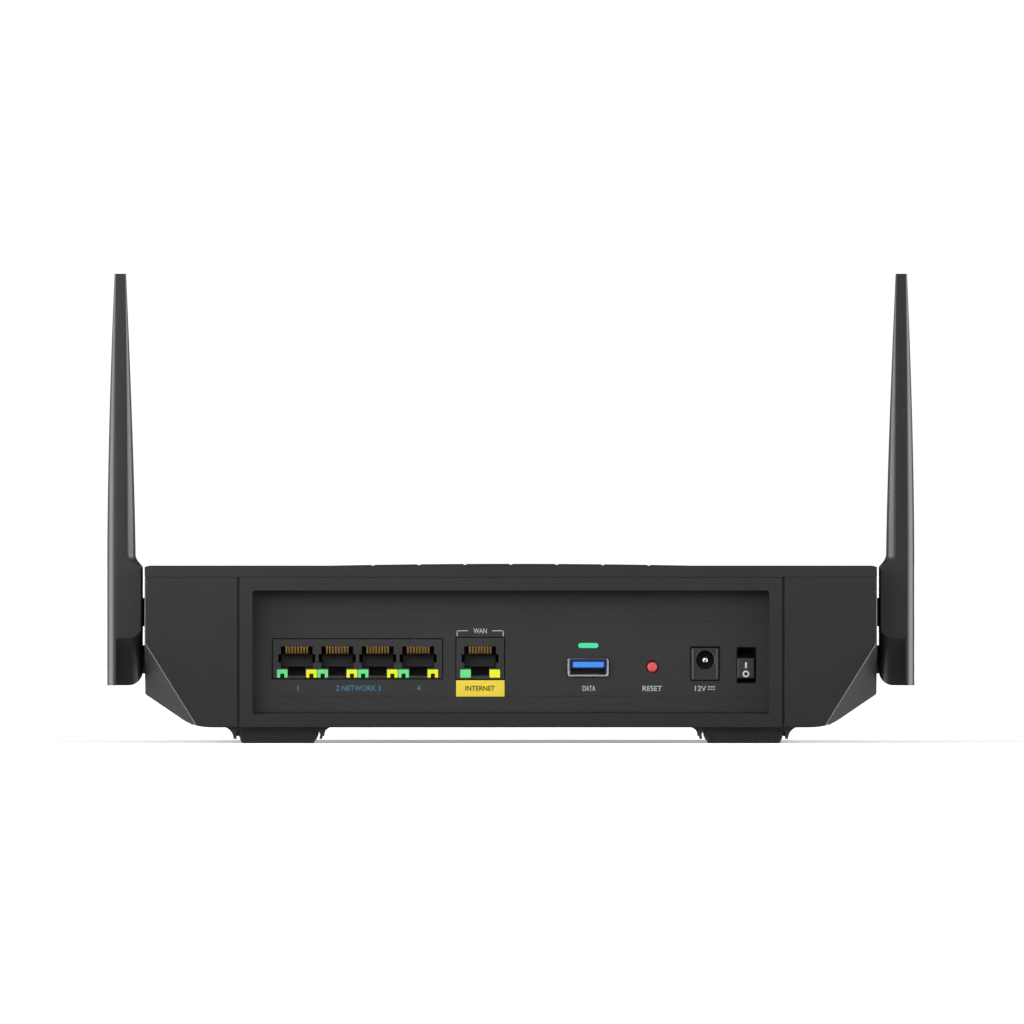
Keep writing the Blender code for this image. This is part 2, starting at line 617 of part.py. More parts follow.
def heel_cutter(name, side, start, end, reach):
    """Everything below and inside the rounded lower edge, swept from one (y, z) to another."""
    rings = []
    for y, z in (start, end):
        centre = (BASE_INNER + HEEL_RADIUS, z + HEEL_RADIUS)
        bend = arc(centre, HEEL_RADIUS, 180, 270, 8)
        outline = [(BASE_INNER, z + 30.0), *bend, (reach, z), (reach, z - 40.0), (110.0, z - 40.0),
                   (110.0, z + 30.0)]
        rings.append([(side * x, PIVOT_Y + y, height) for x, height in outline])
    return loft(name, rings)


def heel_cutters(name, side):
    """Slanted cuts at the front and rear of the heel, which spare the outer skin, and a level cut below."""
    slope = (BLADE_HEEL - BLADE_LOW) / (BLADE_HALF_DEPTH - FLAT_BOTTOM_HALF)
    beyond = 6.0
    top = (BLADE_HALF_DEPTH + beyond, BLADE_HEEL + slope * beyond)
    flat = (FLAT_BOTTOM_HALF, BLADE_LOW)
    deep = BLADE_HALF_DEPTH + beyond
    return [heel_cutter(f"{name}_heel_rear", side, (-top[0], top[1]), (-flat[0], flat[1]), OUTER_SKIN),
            heel_cutter(f"{name}_heel_front", side, flat, top, OUTER_SKIN),
            heel_cutter(f"{name}_heel_low", side, (-deep, BLADE_LOW), (deep, BLADE_LOW), 150.0)]


def blade_levels():
    above = [BLADE_WAIST + (BLADE_TIP - BLADE_WAIST) * (i / 9) for i in range(10)]
    return [10.0, BLADE_HEEL, BASE_TOP, 62.0, 63.0, 63.6, *above]


def pocket_rings(side, low, high, margin, outer_wall, inner):
    """Sections of the hollow in a blade; inner gives the x of its inner side at each height."""
    rings = []
    for z in (low + (high - low) * i / 8 for i in range(9)):
        half = blade_half_depth(z) - 6.0 - margin
        outer = blade_outer(z) - outer_wall
        rings.append([(side * x, PIVOT_Y + y, z) for x, y in rectangle(inner(z), outer, -half, half)])
    return rings


def make_antenna(side, name, look):
    pivot = (side * HALF_WIDTH, PIVOT_Y, PIVOT_Z)
    shell = loft(f"{name}_antenna_shell", [blade_ring(side, z) for z in blade_levels()], look["antenna"], pivot)
    cut(shell, *heel_cutters(name, side))
    pocket = loft(f"{name}_blade_pocket", pocket_rings(side, 68.0, 146.0, 0.0, 1.4, lambda z: 120.0))
    cut(shell, pocket)
    seat = prism(f"{name}_hub_seat", "X", circle((PIVOT_Y, PIVOT_Z), HUB_RADIUS + GAP, 48),
                 side * 120.0, side * 131.5)
    cut(shell, seat)
    cover_rings = []
    for z in (68.0 + GAP + (78.0 - 2 * GAP) * i / 8 for i in range(9)):
        half = blade_half_depth(z) - 6.0 - GAP
        outline = rectangle(blade_inner(z), blade_inner(z) + 1.2, -half, half)
        cover_rings.append([(side * x, PIVOT_Y + y, z) for x, y in outline])
    loft(f"{name}_antenna_cover", cover_rings, look["antenna"], pivot)
    box(f"{name}_antenna_radiator", tuple(sorted((side * 134.2, side * 135.0))),
        (PIVOT_Y - 6.0, PIVOT_Y + 6.0), (70.0, 138.0), look["board"], pivot)
    make_hub(side, name, look, pivot)


def make_hub(side, name, look, pivot):
    """A snap-in barrel: a disc seated in the blade, and two half-round prongs through the case wall."""
    profile = ((HUB_RADIUS, 131.2), (HUB_RADIUS, 122.6), (HUB_RADIUS + 1.3, 122.3), (HUB_RADIUS + 1.3, 121.4),
               (HUB_RADIUS - 0.8, 120.2))
    rings = [[(side * x, y, z) for y, z in circle((PIVOT_Y, PIVOT_Z), radius, 48)] for radius, x in profile]
    hub = loft(f"{name}_antenna_hub", rings, look["hinge"], pivot)
    slot = box(f"{name}_hub_slot", tuple(sorted((side * 110.0, side * 127.6))), (PIVOT_Y - 20, PIVOT_Y + 20),
               (PIVOT_Z - HUB_SLOT / 2, PIVOT_Z + HUB_SLOT / 2))
    cut(hub, slot)
    low, high = sorted((side * 123.7, side * 122.9))
    washer = prism(f"{name}_friction_washer", "X", circle((PIVOT_Y, PIVOT_Z), WASHER_RADIUS, 48), low, high,
                   look["cable"])
    cut(washer, prism(f"{name}_washer_bore", "X", circle((PIVOT_Y, PIVOT_Z), HUB_RADIUS + GAP, 48),
                      low - 1, high + 1))
    board_x = -89.0 if side < 0 else 71.0
    route = [(side * (HALF_WIDTH - 2.0), PIVOT_Y, PIVOT_Z), (side * 118.0, PIVOT_Y, PIVOT_Z),
             (side * 110.0, PIVOT_Y + 1, PIVOT_Z - 1.5),
             ((side * 110.0 + board_x) / 2, PIVOT_Y + 4, 29.0), (board_x + side * 6, PIVOT_Y + 7, 24.6),
             (board_x, PIVOT_Y + 8, 23.4), (board_x - side * 3, PIVOT_Y + 8, 23.3)]
    tube(f"{name}_antenna_coax", route, 0.7, look["cable"])


def main():
    clear_scene()
    look = make_materials()
    make_bottom_housing(look)
    make_status_light(look)
    make_foot_pads(look)
    make_case_screws(look)
    make_top_cover(look)
    make_vent_grille(look)
    make_rear_frame(look)
    make_io_panel(look)
    make_wan_label(look)
    make_jack("lan", [FIRST_PORT_X + PORT_PITCH * i for i in range(4)], LAN_BLOCK, look)
    make_jack("wan", [WAN_X], WAN_BLOCK, look)
    make_usb(look)
    make_reset(look)
    make_dc_jack(look)
    make_power_switch(look)
    make_electronics(look)
    for side, name in ((-1, "left"), (1, "right")):
        make_antenna(side, name, look)


main()
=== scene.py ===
"""The looks of the wireless router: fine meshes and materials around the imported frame.

Sizes are in millimetres, as in the design, and the meshes are made in metres.
Facing the connectors, +X is to the right, +Y runs to the front, and +Z is up.
"""

import math

import bmesh
import bpy
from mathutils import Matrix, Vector


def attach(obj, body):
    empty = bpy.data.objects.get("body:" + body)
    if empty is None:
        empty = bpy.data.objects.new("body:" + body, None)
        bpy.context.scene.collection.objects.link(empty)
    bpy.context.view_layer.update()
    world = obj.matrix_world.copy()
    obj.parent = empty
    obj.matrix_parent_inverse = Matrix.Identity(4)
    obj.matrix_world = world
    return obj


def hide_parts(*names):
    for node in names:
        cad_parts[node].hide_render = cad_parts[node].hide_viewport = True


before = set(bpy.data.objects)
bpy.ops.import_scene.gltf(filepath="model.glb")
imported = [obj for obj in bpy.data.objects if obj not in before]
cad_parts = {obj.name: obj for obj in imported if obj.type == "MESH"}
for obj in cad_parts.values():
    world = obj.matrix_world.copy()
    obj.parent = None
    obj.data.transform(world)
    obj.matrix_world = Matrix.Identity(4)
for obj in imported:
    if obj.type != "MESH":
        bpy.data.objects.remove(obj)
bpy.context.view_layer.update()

MM = 0.001
SEAM = 0.12                    # gap at a closed seam between two mouldings
SHARP_TURN = 32.0              # degrees; an edge that turns by more than this stays sharp
OUTSIDE, UNDER = 140.0, -5.0   # past the sides of the case and below it, where cutters end
ALL_X, ALL_Y = (-OUTSIDE, OUTSIDE), (-120.0, 120.0)

# The case: its box, its corner facets, the roll of its floor edge, and the lean of its two ends.
HALF_WIDTH, HALF_DEPTH = 126.4, 102.0
BODY_BOTTOM, COVER_SEAM, BODY_TOP, CROWN = 5.45, 57.3, 60.9, 0.7
WALL, FLOOR = 2.4, 2.2
CHAMFER_TOP, FACET_TOP, FACET_RUN, FACET_SLOPE = 16.8, 34.7, 33.0, 1.57
ROLL_START, ROLL_BEND, ROLL_END, ROLL_RISE = 102.7, 109.2, 113.1, 2.55
CREASE, LEAN = 35.1, 1.4
SCREW_X, SCREW_Y = 108.0, 62.0
STATUS_Z = 40.0

# The frame around the connectors, its recess, and the panel at the bottom of it.
FRAME_HALF, RECESS_HALF = 94.4, 89.2
RECESS_LOW, RECESS_HIGH, RECESS_DEPTH, RECESS_WALL = 9.9, 52.7, 9.0, 1.6
PANEL_FRONT, PANEL_THICK = -HALF_DEPTH + RECESS_DEPTH + 0.3, 1.8

# The moulded feet and their rubber pads.
FOOT_X, FOOT_Y, FOOT_HALF_LENGTH = 80.4, 84.0, 14.0
SKIRT_TOP_HALF, SKIRT_LOW_HALF, SKIRT_LOW, PAD_TOP = 20.0, 15.3, 1.5, 4.5
# Half width across, pull-in at the two ends, and height of each level of a foot pad.
PAD_LEVELS = ((12.2, 0.6, 0.0), (12.6, 0.2, 0.3), (13.1, 0.1, 1.4), (13.5, 0.1, 3.1), (13.5, 0.1, PAD_TOP))

# The antennas: hinge line, blade, thick base, heel, hub and cover plate.
PIVOT_Y, PIVOT_Z = -70.0, 37.0
BLADE_TIP, BLADE_WAIST, BASE_TOP = 162.1, 64.5, 60.8
BLADE_OUTER, BLADE_INNER, BASE_INNER = 139.4, 129.8, 127.3
BLADE_LOW, BLADE_HEEL, HEEL_RADIUS, OUTER_SKIN = 19.9, 36.6, 4.8, 136.3
BLADE_HALF_DEPTH, TIP_HALF_DEPTH, FLAT_BOTTOM_HALF = 20.0, 12.0, 8.0
HUB_RADIUS, HUB_GAP = 13.1, 0.3
PLATE_LOW, PLATE_HIGH = 68.0, 146.0

# The connectors.
JACK_FACE = -HALF_DEPTH + RECESS_DEPTH - 0.3
PORT_PITCH, FIRST_PORT_X, WAN_X = 13.97, -73.9, -10.6
LAN_BLOCK_X, LAN_BLOCK_Z = (-82.2, -23.7), (22.3, 35.9)
WAN_BLOCK_X, WAN_BLOCK_Z = (WAN_X - 8.2, WAN_X + 8.3), (22.1, 36.4)
LIGHT_OFFSET = 5.05
USB_X, USB_Z, USB_HALF_W, USB_HALF_H = 26.7, 26.1, 7.1, 3.1
USB_CONTACTS = [USB_X + 2.3 * i for i in (-1.5, -0.5, 0.5, 1.5)]
RESET_X, RESET_Z = 48.8, 26.3
DC_X, DC_Z = 67.1, 28.7
DC_BLOCK_X, DC_BLOCK_Z, DC_HOLE_TOP = (62.2, 71.8), (21.8, 32.9), 33.1
SWITCH_X, SWITCH_BLOCK_X, SWITCH_BLOCK_Z = 81.15, (77.8, 84.5), (20.8, 33.1)

# The vent in the top cover.
GRILLE_HALF_X, GRILLE_HALF_Y, GRILLE_CORNER = 66.0, 70.0, 8.0
GROOVES, GROOVE_PITCH, GROOVE_WIDTH, GROOVE_DEPTH = 7, 16.0, 1.0, 0.3
SLOT_ROWS, SLOT_PITCH, SLOT_HALF, SLOT_RISE, SLOT_RADIUS = 18, 7.0, 4.0, 1.12, 1.1

# The studio: strengths and directions of its light, then places in metres and the camera's lens.
FRONT_LIGHT, BACK_LIGHT, TOP_SHARE, SIDE_LIGHT = 1.10, 0.06, 0.60, 7.0
FLOOR_AHEAD, FLOOR_BELOW = 0.04, 0.36
GLINT, GLINT_WAY = 10.0, (0.83, -0.25, -0.50)
BACKDROP, FLOOR_GLOW, FLOOR_HALF = 1.05, 0.33, 30000.0
LIGHTS_AIM = (0.0, 0.0, 0.06)
LENS, SENSOR, VIEW_WIDTH, CAMERA_RISE = 1650.0, 36.0, 0.3533, 0.05
CAMERA_AIM = (0.0004, -0.102, 0.0798)


# ---------------------------------------------------------------- mesh helpers

def mesh_object(name, points, faces):
    mesh = bpy.data.meshes.new(name)
    mesh.from_pydata([Vector(p) * MM for p in points], [], faces)
    build = bmesh.new()
    build.from_mesh(mesh)
    bmesh.ops.recalc_face_normals(build, faces=build.faces)
    build.to_mesh(mesh)
    build.free()
    made = bpy.data.objects.new(name, mesh)
    bpy.context.scene.collection.objects.link(made)
    return made


def lofts(name, bodies):
    """One mesh of closed bodies, each given as rings of equally many points."""
    points, faces = [], []
    for rings in bodies:
        first, count = len(points), len(rings[0])
        points += [p for ring in rings for p in ring]
        faces.append([first + i for i in range(count)])
        faces.append([first + (len(rings) - 1) * count + i for i in range(count)])
        for level in range(len(rings) - 1):
            base = first + level * count
            for i in range(count):
                j = (i + 1) % count
                faces.append([base + i, base + j, base + count + j, base + count + i])
    return mesh_object(name, points, faces)


def loft(name, rings):
    return lofts(name, [rings])


def placed(axis, u, v, w):
    """A point at w along the axis, and (u, v) across it."""
    if axis == "X":
        return (w, u, v)
    if axis == "Y":
        return (u, w, v)
    return (u, v, w)


def prism_rings(axis, outline, low, high):
    return [[placed(axis, u, v, w) for u, v in outline] for w in (low, high)]


def prism(name, axis, outline, low, high):
    return loft(name, prism_rings(axis, outline, low, high))


def prisms(name, axis, outlines, low, high):
    return lofts(name, [prism_rings(axis, outline, low, high) for outline in outlines])


def rectangle(u0, u1, v0, v1):
    return [(u0, v0), (u1, v0), (u1, v1), (u0, v1)]


def box(name, x, y, z):
    return prism(name, "Z", rectangle(*x, *y), *z)


def around(x, z, gap):
    """The rectangle that leaves a gap on every side of a connector."""
    return rectangle(x[0] - gap, x[1] + gap, z[0] - gap, z[1] + gap)


def arc(centre, radius, start, end, steps):
    turns = [math.radians(start + (end - start) * i / steps) for i in range(steps + 1)]
    return [(centre[0] + radius * math.cos(t), centre[1] + radius * math.sin(t)) for t in turns]


def circle(centre, radius, steps=48):
    return arc(centre, radius, 0, 360 * (steps - 1) / steps, steps - 1)


def rounded(u0, u1, v0, v1, radius, steps=6):
    corners = [(u1 - radius, v1 - radius, 0), (u0 + radius, v1 - radius, 90),
               (u0 + radius, v0 + radius, 180), (u1 - radius, v0 + radius, 270)]
    return [p for u, v, turn in corners for p in arc((u, v), radius, turn, turn + 90, steps)]


def mirrored(outline):
    return outline + [(-u, v) for u, v in reversed(outline)]


def turned(name, axis, centre, profile, steps=48):
    """A closed round body: profile is (radius, position along the axis) from one end to the other."""
    rings = [[placed(axis, u, v, w) for u, v in circle(centre, radius, steps)] for radius, w in profile]
    return loft(name, rings)


def apply_modifiers(piece):
    graph = bpy.context.evaluated_depsgraph_get()
    mesh = bpy.data.meshes.new_from_object(piece.evaluated_get(graph))
    piece.modifiers.clear()
    piece.data = mesh
    return piece


def combine(piece, tools, operation):
    for tool in tools:
        step = piece.modifiers.new("combine", "BOOLEAN")
        step.object = tool
        step.operation = operation
        step.solver = "EXACT"
    bpy.context.view_layer.update()
    apply_modifiers(piece)
    for tool in tools:
        bpy.data.objects.remove(tool)
    return piece


def cut(piece, *tools):
    return combine(piece, tools, "DIFFERENCE")


def add(piece, *tools):
    return combine(piece, tools, "UNION")


def soften(piece, width, segments=3, angle=SHARP_TURN, clamped=True):
    """Rounds the edges that turn by more than the angle."""
    step = piece.modifiers.new("soften", "BEVEL")
    step.width = width * MM
    step.segments = segments
    step.limit_method = "ANGLE"
    step.angle_limit = math.radians(angle)
    step.use_clamp_overlap = clamped
    bpy.context.view_layer.update()
    return apply_modifiers(piece)


def dress(piece, surface, body, slot, *nodes):
    """Gives a finished piece its material, smooth shading and body, and hides the design nodes it stands for.
    """
    piece.data.materials.clear()
    piece.data.materials.append(surface)
    piece.data.shade_smooth()
    piece.data.set_sharp_from_angle(angle=math.radians(SHARP_TURN))
    weigh = piece.modifiers.new("normals", "WEIGHTED_NORMAL")
    weigh.keep_sharp = True
    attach(piece, body)
    if nodes:
        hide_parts(*nodes)
    return piece


# ---------------------------------------------------------------- materials

def new_material(name):
    made = bpy.data.materials.new(name)
    made.use_nodes = True
    nodes, links = made.node_tree.nodes, made.node_tree.links
    return made, nodes, links, nodes["Principled BSDF"]


def noise(nodes, links, place, scale, detail=2.0):
    made = nodes.new("ShaderNodeTexNoise")
    made.inputs["Scale"].default_value = scale
    made.inputs["Detail"].default_value = detail
    links.new(place.outputs["Object"], made.inputs["Vector"])
    return made


def ramp(nodes, links, source, low, high, start=0.3, end=0.7):
    """Two greys or colours between which a texture's value moves."""
    made = nodes.new("ShaderNodeValToRGB")
    made.color_ramp.elements[0].position = start
    made.color_ramp.elements[1].position = end
    made.color_ramp.elements[0].color = (*low, 1.0)
    made.color_ramp.elements[1].color = (*high, 1.0)
    links.new(source, made.inputs["Fac"])
    return made


def moulded(name, colour, roughness, grain=2600.0, depth=0.00003, specular=0.5, spread=0.10):
    """Moulded plastic: fine spark-eroded grain, with a slow drift of tone and gloss over the surface."""
    made, nodes, links, shader = new_material(name)
    place = nodes.new("ShaderNodeTexCoord")
    slow = noise(nodes, links, place, 45.0, 3.0)
    fine = noise(nodes, links, place, grain, 1.0)
    tone = ramp(nodes, links, slow.outputs["Fac"], [c * (1 - spread) for c in colour],
                [c * (1 + spread) for c in colour])
    links.new(tone.outputs["Color"], shader.inputs["Base Color"])
    gloss = ramp(nodes, links, fine.outputs["Fac"], [roughness - 0.05] * 3, [roughness + 0.05] * 3)
    links.new(gloss.outputs["Color"], shader.inputs["Roughness"])
    bump = nodes.new("ShaderNodeBump")
    bump.inputs["Strength"].default_value = 0.5
    bump.inputs["Distance"].default_value = depth
    links.new(fine.outputs["Fac"], bump.inputs["Height"])
    links.new(bump.outputs["Normal"], shader.inputs["Normal"])
    shader.inputs["Specular IOR Level"].default_value = specular
    return made


def metal(name, colour, roughness, stretch=(1.0, 1.0, 1.0), spread=0.12):
    """Drawn or stamped metal, with a fine grain that runs along the stretched axis."""
    made, nodes, links, shader = new_material(name)
    place = nodes.new("ShaderNodeTexCoord")
    mapping = nodes.new("ShaderNodeMapping")
    mapping.inputs["Scale"].default_value = stretch
    links.new(place.outputs["Object"], mapping.inputs["Vector"])
    grain = nodes.new("ShaderNodeTexNoise")
    grain.inputs["Scale"].default_value = 3000.0
    links.new(mapping.outputs["Vector"], grain.inputs["Vector"])
    tone = ramp(nodes, links, grain.outputs["Fac"], [c * (1 - spread) for c in colour],
                [min(1.0, c * (1 + spread)) for c in colour])
    links.new(tone.outputs["Color"], shader.inputs["Base Color"])
    gloss = ramp(nodes, links, grain.outputs["Fac"], [roughness - 0.06] * 3, [roughness + 0.08] * 3)
    links.new(gloss.outputs["Color"], shader.inputs["Roughness"])
    shader.inputs["Metallic"].default_value = 1.0
    return made


def lit(name, colour, glow, strength):
    """A light pipe: clear moulding with its own glow, uneven as the lamp behind it shows through."""
    made, nodes, links, shader = new_material(name)
    place = nodes.new("ShaderNodeTexCoord")
    cloud = noise(nodes, links, place, 500.0)
    tone = ramp(nodes, links, cloud.outputs["Fac"], [c * 0.92 for c in glow], glow)
    links.new(tone.outputs["Color"], shader.inputs["Emission Color"])
    shader.inputs["Base Color"].default_value = (*colour, 1.0)
    shader.inputs["Roughness"].default_value = 0.25
    shader.inputs["Emission Strength"].default_value = strength
    return made


def printed(name, colour):
    """Screen-printed ink: slightly uneven cover."""
    made, nodes, links, shader = new_material(name)
    place = nodes.new("ShaderNodeTexCoord")
    cloud = noise(nodes, links, place, 1800.0)
    tone = ramp(nodes, links, cloud.outputs["Fac"], [c * 0.88 for c in colour], colour)
    links.new(tone.outputs["Color"], shader.inputs["Base Color"])
    shader.inputs["Roughness"].default_value = 0.55
    return made


def circuit_board(name):
    """Solder mask over copper tracks: faint lighter strips where the tracks run."""
    made, nodes, links, shader = new_material(name)
    place = nodes.new("ShaderNodeTexCoord")
    cells = nodes.new("ShaderNodeTexVoronoi")
    cells.distance = "MANHATTAN"
    cells.feature = "DISTANCE_TO_EDGE"
    cells.inputs["Scale"].default_value = 260.0
    links.new(place.outputs["Object"], cells.inputs["Vector"])
    track, mask = (0.02, 0.13, 0.06), (0.008, 0.06, 0.03)
    tone = ramp(nodes, links, cells.outputs["Distance"], track, mask, 0.04, 0.07)
    links.new(tone.outputs["Color"], shader.inputs["Base Color"])
    shader.inputs["Roughness"].default_value = 0.35
    return made


MATERIALS = {
    "case": moulded("case_plastic", (0.0165, 0.0165, 0.0168), 0.42, specular=0.40),
    # The case's charcoal plastic made lighter: painted light that makes up for the shade deep in the recess.
    "recess": moulded("recess_plastic", (0.0205, 0.0205, 0.0209), 0.50, specular=0.38),
    "grille": moulded("grille_plastic", (0.016, 0.016, 0.0163), 0.50, specular=0.35),
    "antenna": moulded("antenna_plastic", (0.0140, 0.0140, 0.0143), 0.38, specular=0.38),
    # Near-black, far darker than any plastic here: painted shade for the antenna hubs in their narrow gaps,
    # the switch well and the rocker's upper half.
    "hinge": moulded("hinge_plastic", (0.004, 0.004, 0.004), 0.45, depth=0.00001, specular=0.1),
    "pad": moulded("foot_rubber", (0.013, 0.013, 0.0132), 0.70, grain=1500.0, depth=0.00006, specular=0.2),
    "jack": moulded("jack_plastic", (0.024, 0.024, 0.0245), 0.45, depth=0.00001, specular=0.35),
    "black": moulded("black_plastic", (0.012, 0.012, 0.012), 0.50, depth=0.00001),
    # Twice as light as the jack plastic and used only on the DC jack's edge ribs: painted highlight along
    # them.
    "rocker": moulded("rib_painted_highlight_plastic", (0.050, 0.050, 0.052), 0.38, depth=0.00001),
    "switch": moulded("switch_plastic", (0.030, 0.030, 0.031), 0.38, depth=0.00001, specular=0.4),
    "blue": moulded("blue_plastic", (0.035, 0.26, 0.78), 0.40, depth=0.00001),
    # Pale grey-blue on a black plastic part: painted light for the light reflected inside the USB mouth.
    "painted_light_lining": moulded("painted_light_lining_plastic", (0.16, 0.17, 0.22), 0.60, depth=0.00001),
    # Dark navy: painted shade in the USB mouth.
    "painted_shade_navy": moulded("painted_shade_navy_plastic", (0.004, 0.014, 0.085), 0.40, depth=0.00001, specular=0.3),
    "red": moulded("red_plastic", (0.62, 0.075, 0.085), 0.42, depth=0.00001),
    "thermal": moulded("thermal_gel", (0.33, 0.38, 0.50), 0.85, grain=900.0),
    "label": printed("yellow_label", (0.80, 0.61, 0.035)),
    "ink_blue": printed("ink_blue", (0.035, 0.15, 0.24)),
    "ink_grey": printed("ink_grey", (0.42, 0.42, 0.43)),
    "ink_white": printed("ink_white", (0.72, 0.72, 0.72)),
    "ink_dark": printed("ink_dark", (0.02, 0.014, 0.002)),
    "gold": metal("gold_plate", (0.66, 0.40, 0.14), 0.42),
    "steel": metal("plated_steel", (0.62, 0.62, 0.64), 0.28, (1.0, 0.1, 1.0)),
    "aluminium": metal("heat_sink_aluminium", (0.58, 0.59, 0.60), 0.42, (1.0, 0.05, 1.0)),
    "green_light": lit("green_light", (0.04, 0.25, 0.08), (0.12, 0.56, 0.20), 0.85),
    "usb_light": lit("mint_light", (0.03, 0.25, 0.12), (0.05, 0.64, 0.30), 0.8),
    "yellow_light": lit("yellow_light", (0.30, 0.30, 0.01), (0.66, 0.69, 0.01), 0.8),
    "white_light": lit("white_light", (0.55, 0.57, 0.60), (0.80, 0.84, 0.90), 0.5),
    "board": circuit_board("solder_mask"),
}


# ---------------------------------------------------------------- case

def curve_between(start, bend, end, steps):
    """A quadratic curve."""
    made = []
    for i in range(steps + 1):
        t = i / steps
        first, middle, last = (1 - t) ** 2, 2 * t * (1 - t), t * t
        made.append(tuple(first * start[k] + middle * bend[k] + last * end[k] for k in (0, 1)))
    return made


def side_outline(inset, low, high, wall_low):
    """A cross-section of the case: the floor rolls up at its edges and meets the side walls."""
    edge = HALF_WIDTH - inset
    start, bend = (ROLL_START - inset, low), (ROLL_BEND - inset, low)
    curve = curve_between(start, bend, (ROLL_END - inset, low + ROLL_RISE), 7)
    return mirrored([*curve, (edge, wall_low), (edge, high)])


def corner_wedges(name, inset):
    """Cutters for the facets at the four lower corners, which fall away from the ends of the case."""
    made = []
    for side in (-1, 1):
        for end in (-1, 1):
            rings = []
            for reach in (-8.0, FACET_RUN + 9.0):
                height = FACET_TOP - (FACET_TOP - CHAMFER_TOP) / FACET_RUN * reach + inset * 2.3
                low_x = HALF_WIDTH - (height - UNDER) / FACET_SLOPE
                high = height + (OUTSIDE - HALF_WIDTH) * FACET_SLOPE
                triangle = [(OUTSIDE, high), (OUTSIDE, UNDER), (low_x, UNDER)]
                rings.append([(side * x, end * (HALF_DEPTH - reach), z) for x, z in triangle])
            made.append(loft(f"{name}_{side}_{end}", rings))
    return made


def lean_cutter(name, end, behind=0.0):
    """A cutter for the lower half of an end face, which leans inward below the crease."""
    face = HALF_DEPTH - behind
    inner = face - LEAN / (CREASE - BODY_BOTTOM) * (CREASE - UNDER)
    outline = [(HALF_DEPTH + 2, CREASE), (face, CREASE), (inner, UNDER), (HALF_DEPTH + 2, UNDER)]
    return prism(name, "X", [(end * y, z) for y, z in outline], *ALL_X)


def skirt(name, x, y):
    """A moulded foot: hollow flanks that end in thin fins, and between them a way through for the pad."""
    root = BODY_BOTTOM + 0.4
    rise, reach = root - SKIRT_LOW, SKIRT_TOP_HALF - SKIRT_LOW_HALF
    turns = [math.radians(90 * i / 14) for i in range(15)]
    flank = [(SKIRT_LOW_HALF + reach * (1 - math.sin(t)), root - rise * (1 - math.cos(t))) for t in turns]
    outline = [(x + u, z) for u, z in mirrored(list(reversed(flank)))]
    made = prism(name, "Y", outline, y - FOOT_HALF_LENGTH, y + FOOT_HALF_LENGTH)
    way = [(x + u, z) for u, z in mirrored([(14.3, 0.5), (14.3, 1.4), (14.55, 3.2), (13.9, PAD_TOP + 0.1)])]
    cut(made, prism("pad_way", "Y", way, y - 20.0, y + 20.0))
    return soften(made, 0.25, 3, 40.0)


def corners(x, y):
    """The four places that mirror each other about the middle of the case."""
    return [(side * x, end * y) for side in (-1, 1) for end in (-1, 1)]


def make_housing():
    outline = side_outline(0, BODY_BOTTOM, 64.0, CHAMFER_TOP)
    shell = prism("case_housing", "Y", outline, -HALF_DEPTH, HALF_DEPTH)
    cut(shell, *corner_wedges("corner", 0.0), lean_cutter("rear_lean", -1), lean_cutter("front_lean", 1))
    soften(shell, 0.5, 4, 15.0, False)
    hollow = side_outline(WALL, BODY_BOTTOM + FLOOR, 70.0, CHAMFER_TOP + 1.6)
    inside = prism("inside", "Y", hollow, WALL - HALF_DEPTH, HALF_DEPTH - WALL)
    cut(inside, *corner_wedges("inner_corner", WALL))
    above = box("above", ALL_X, ALL_Y, (COVER_SEAM - SEAM / 2, 80))
    reach = (-HALF_DEPTH - 1, WALL - HALF_DEPTH + 0.3)
    cut(shell, inside, above, box("rear_opening", (-FRAME_HALF, FRAME_HALF), reach, (0, 70)))
    add(shell, *[skirt(f"skirt_{i}", x, y) for i, (x, y) in enumerate(corners(FOOT_X, FOOT_Y))])
    rows = [12.0 * row - 48.0 for row in range(9)]
    vents = [rounded(x, x + 40.0, y, y + 3.0, 1.45) for x in (-48.0, 8.0) for y in rows]
    heads = [circle(place, 3.3, 32) for place in corners(SCREW_X, SCREW_Y)]
    bearing = circle((PIVOT_Y, PIVOT_Z), HUB_RADIUS + HUB_GAP, 64)
    cut(shell, prisms("floor_vents", "Z", vents, 0, 12), prisms("screw_heads", "Z", heads, 0, 9.5),
        *[prism(f"bearing_{side}", "X", bearing, side * 120.0, side * 130.0) for side in (-1, 1)],
        prism("status_hole", "Y", circle((0, STATUS_Z), 1.85, 32), 95.0, HALF_DEPTH + 1))
    dress(shell, MATERIALS["case"], "case", "case_plastic", "bottom_housing")


def plan(inset):
    """The case seen from above, drawn in by the inset on every side."""
    return rectangle(inset - HALF_WIDTH, HALF_WIDTH - inset, inset - HALF_DEPTH, HALF_DEPTH - inset)


def grille_outline(gap):
    half_x, half_y = GRILLE_HALF_X + gap, GRILLE_HALF_Y + gap
    return rounded(-half_x, half_x, -half_y, half_y, GRILLE_CORNER + gap, 12)


def make_cover():
    outline = rectangle(-HALF_WIDTH, HALF_WIDTH, 50.0, BODY_TOP)
    cover = prism("case_cover", "Y", outline, -HALF_DEPTH, HALF_DEPTH)
    soften(cover, 0.18, 3)
    cut(cover, box("below", ALL_X, ALL_Y, (40, COVER_SEAM + SEAM / 2)),
        prism("hollow", "Z", plan(WALL), 50, BODY_TOP - 1.8),
        prism("window", "Z", grille_outline(0.2), 50, 70))
    lip = prism("cover_lip", "Z", plan(2.6), 55.6, 59.6)
    cut(lip, prism("lip_space", "Z", plan(3.8), 50, 65))
    add(cover, lip)
    dress(cover, MATERIALS["case"], "case", "case_plastic", "top_cover")


def crown_height(x):
    return BODY_TOP + CROWN * (1 - (x / GRILLE_HALF_X) ** 2)


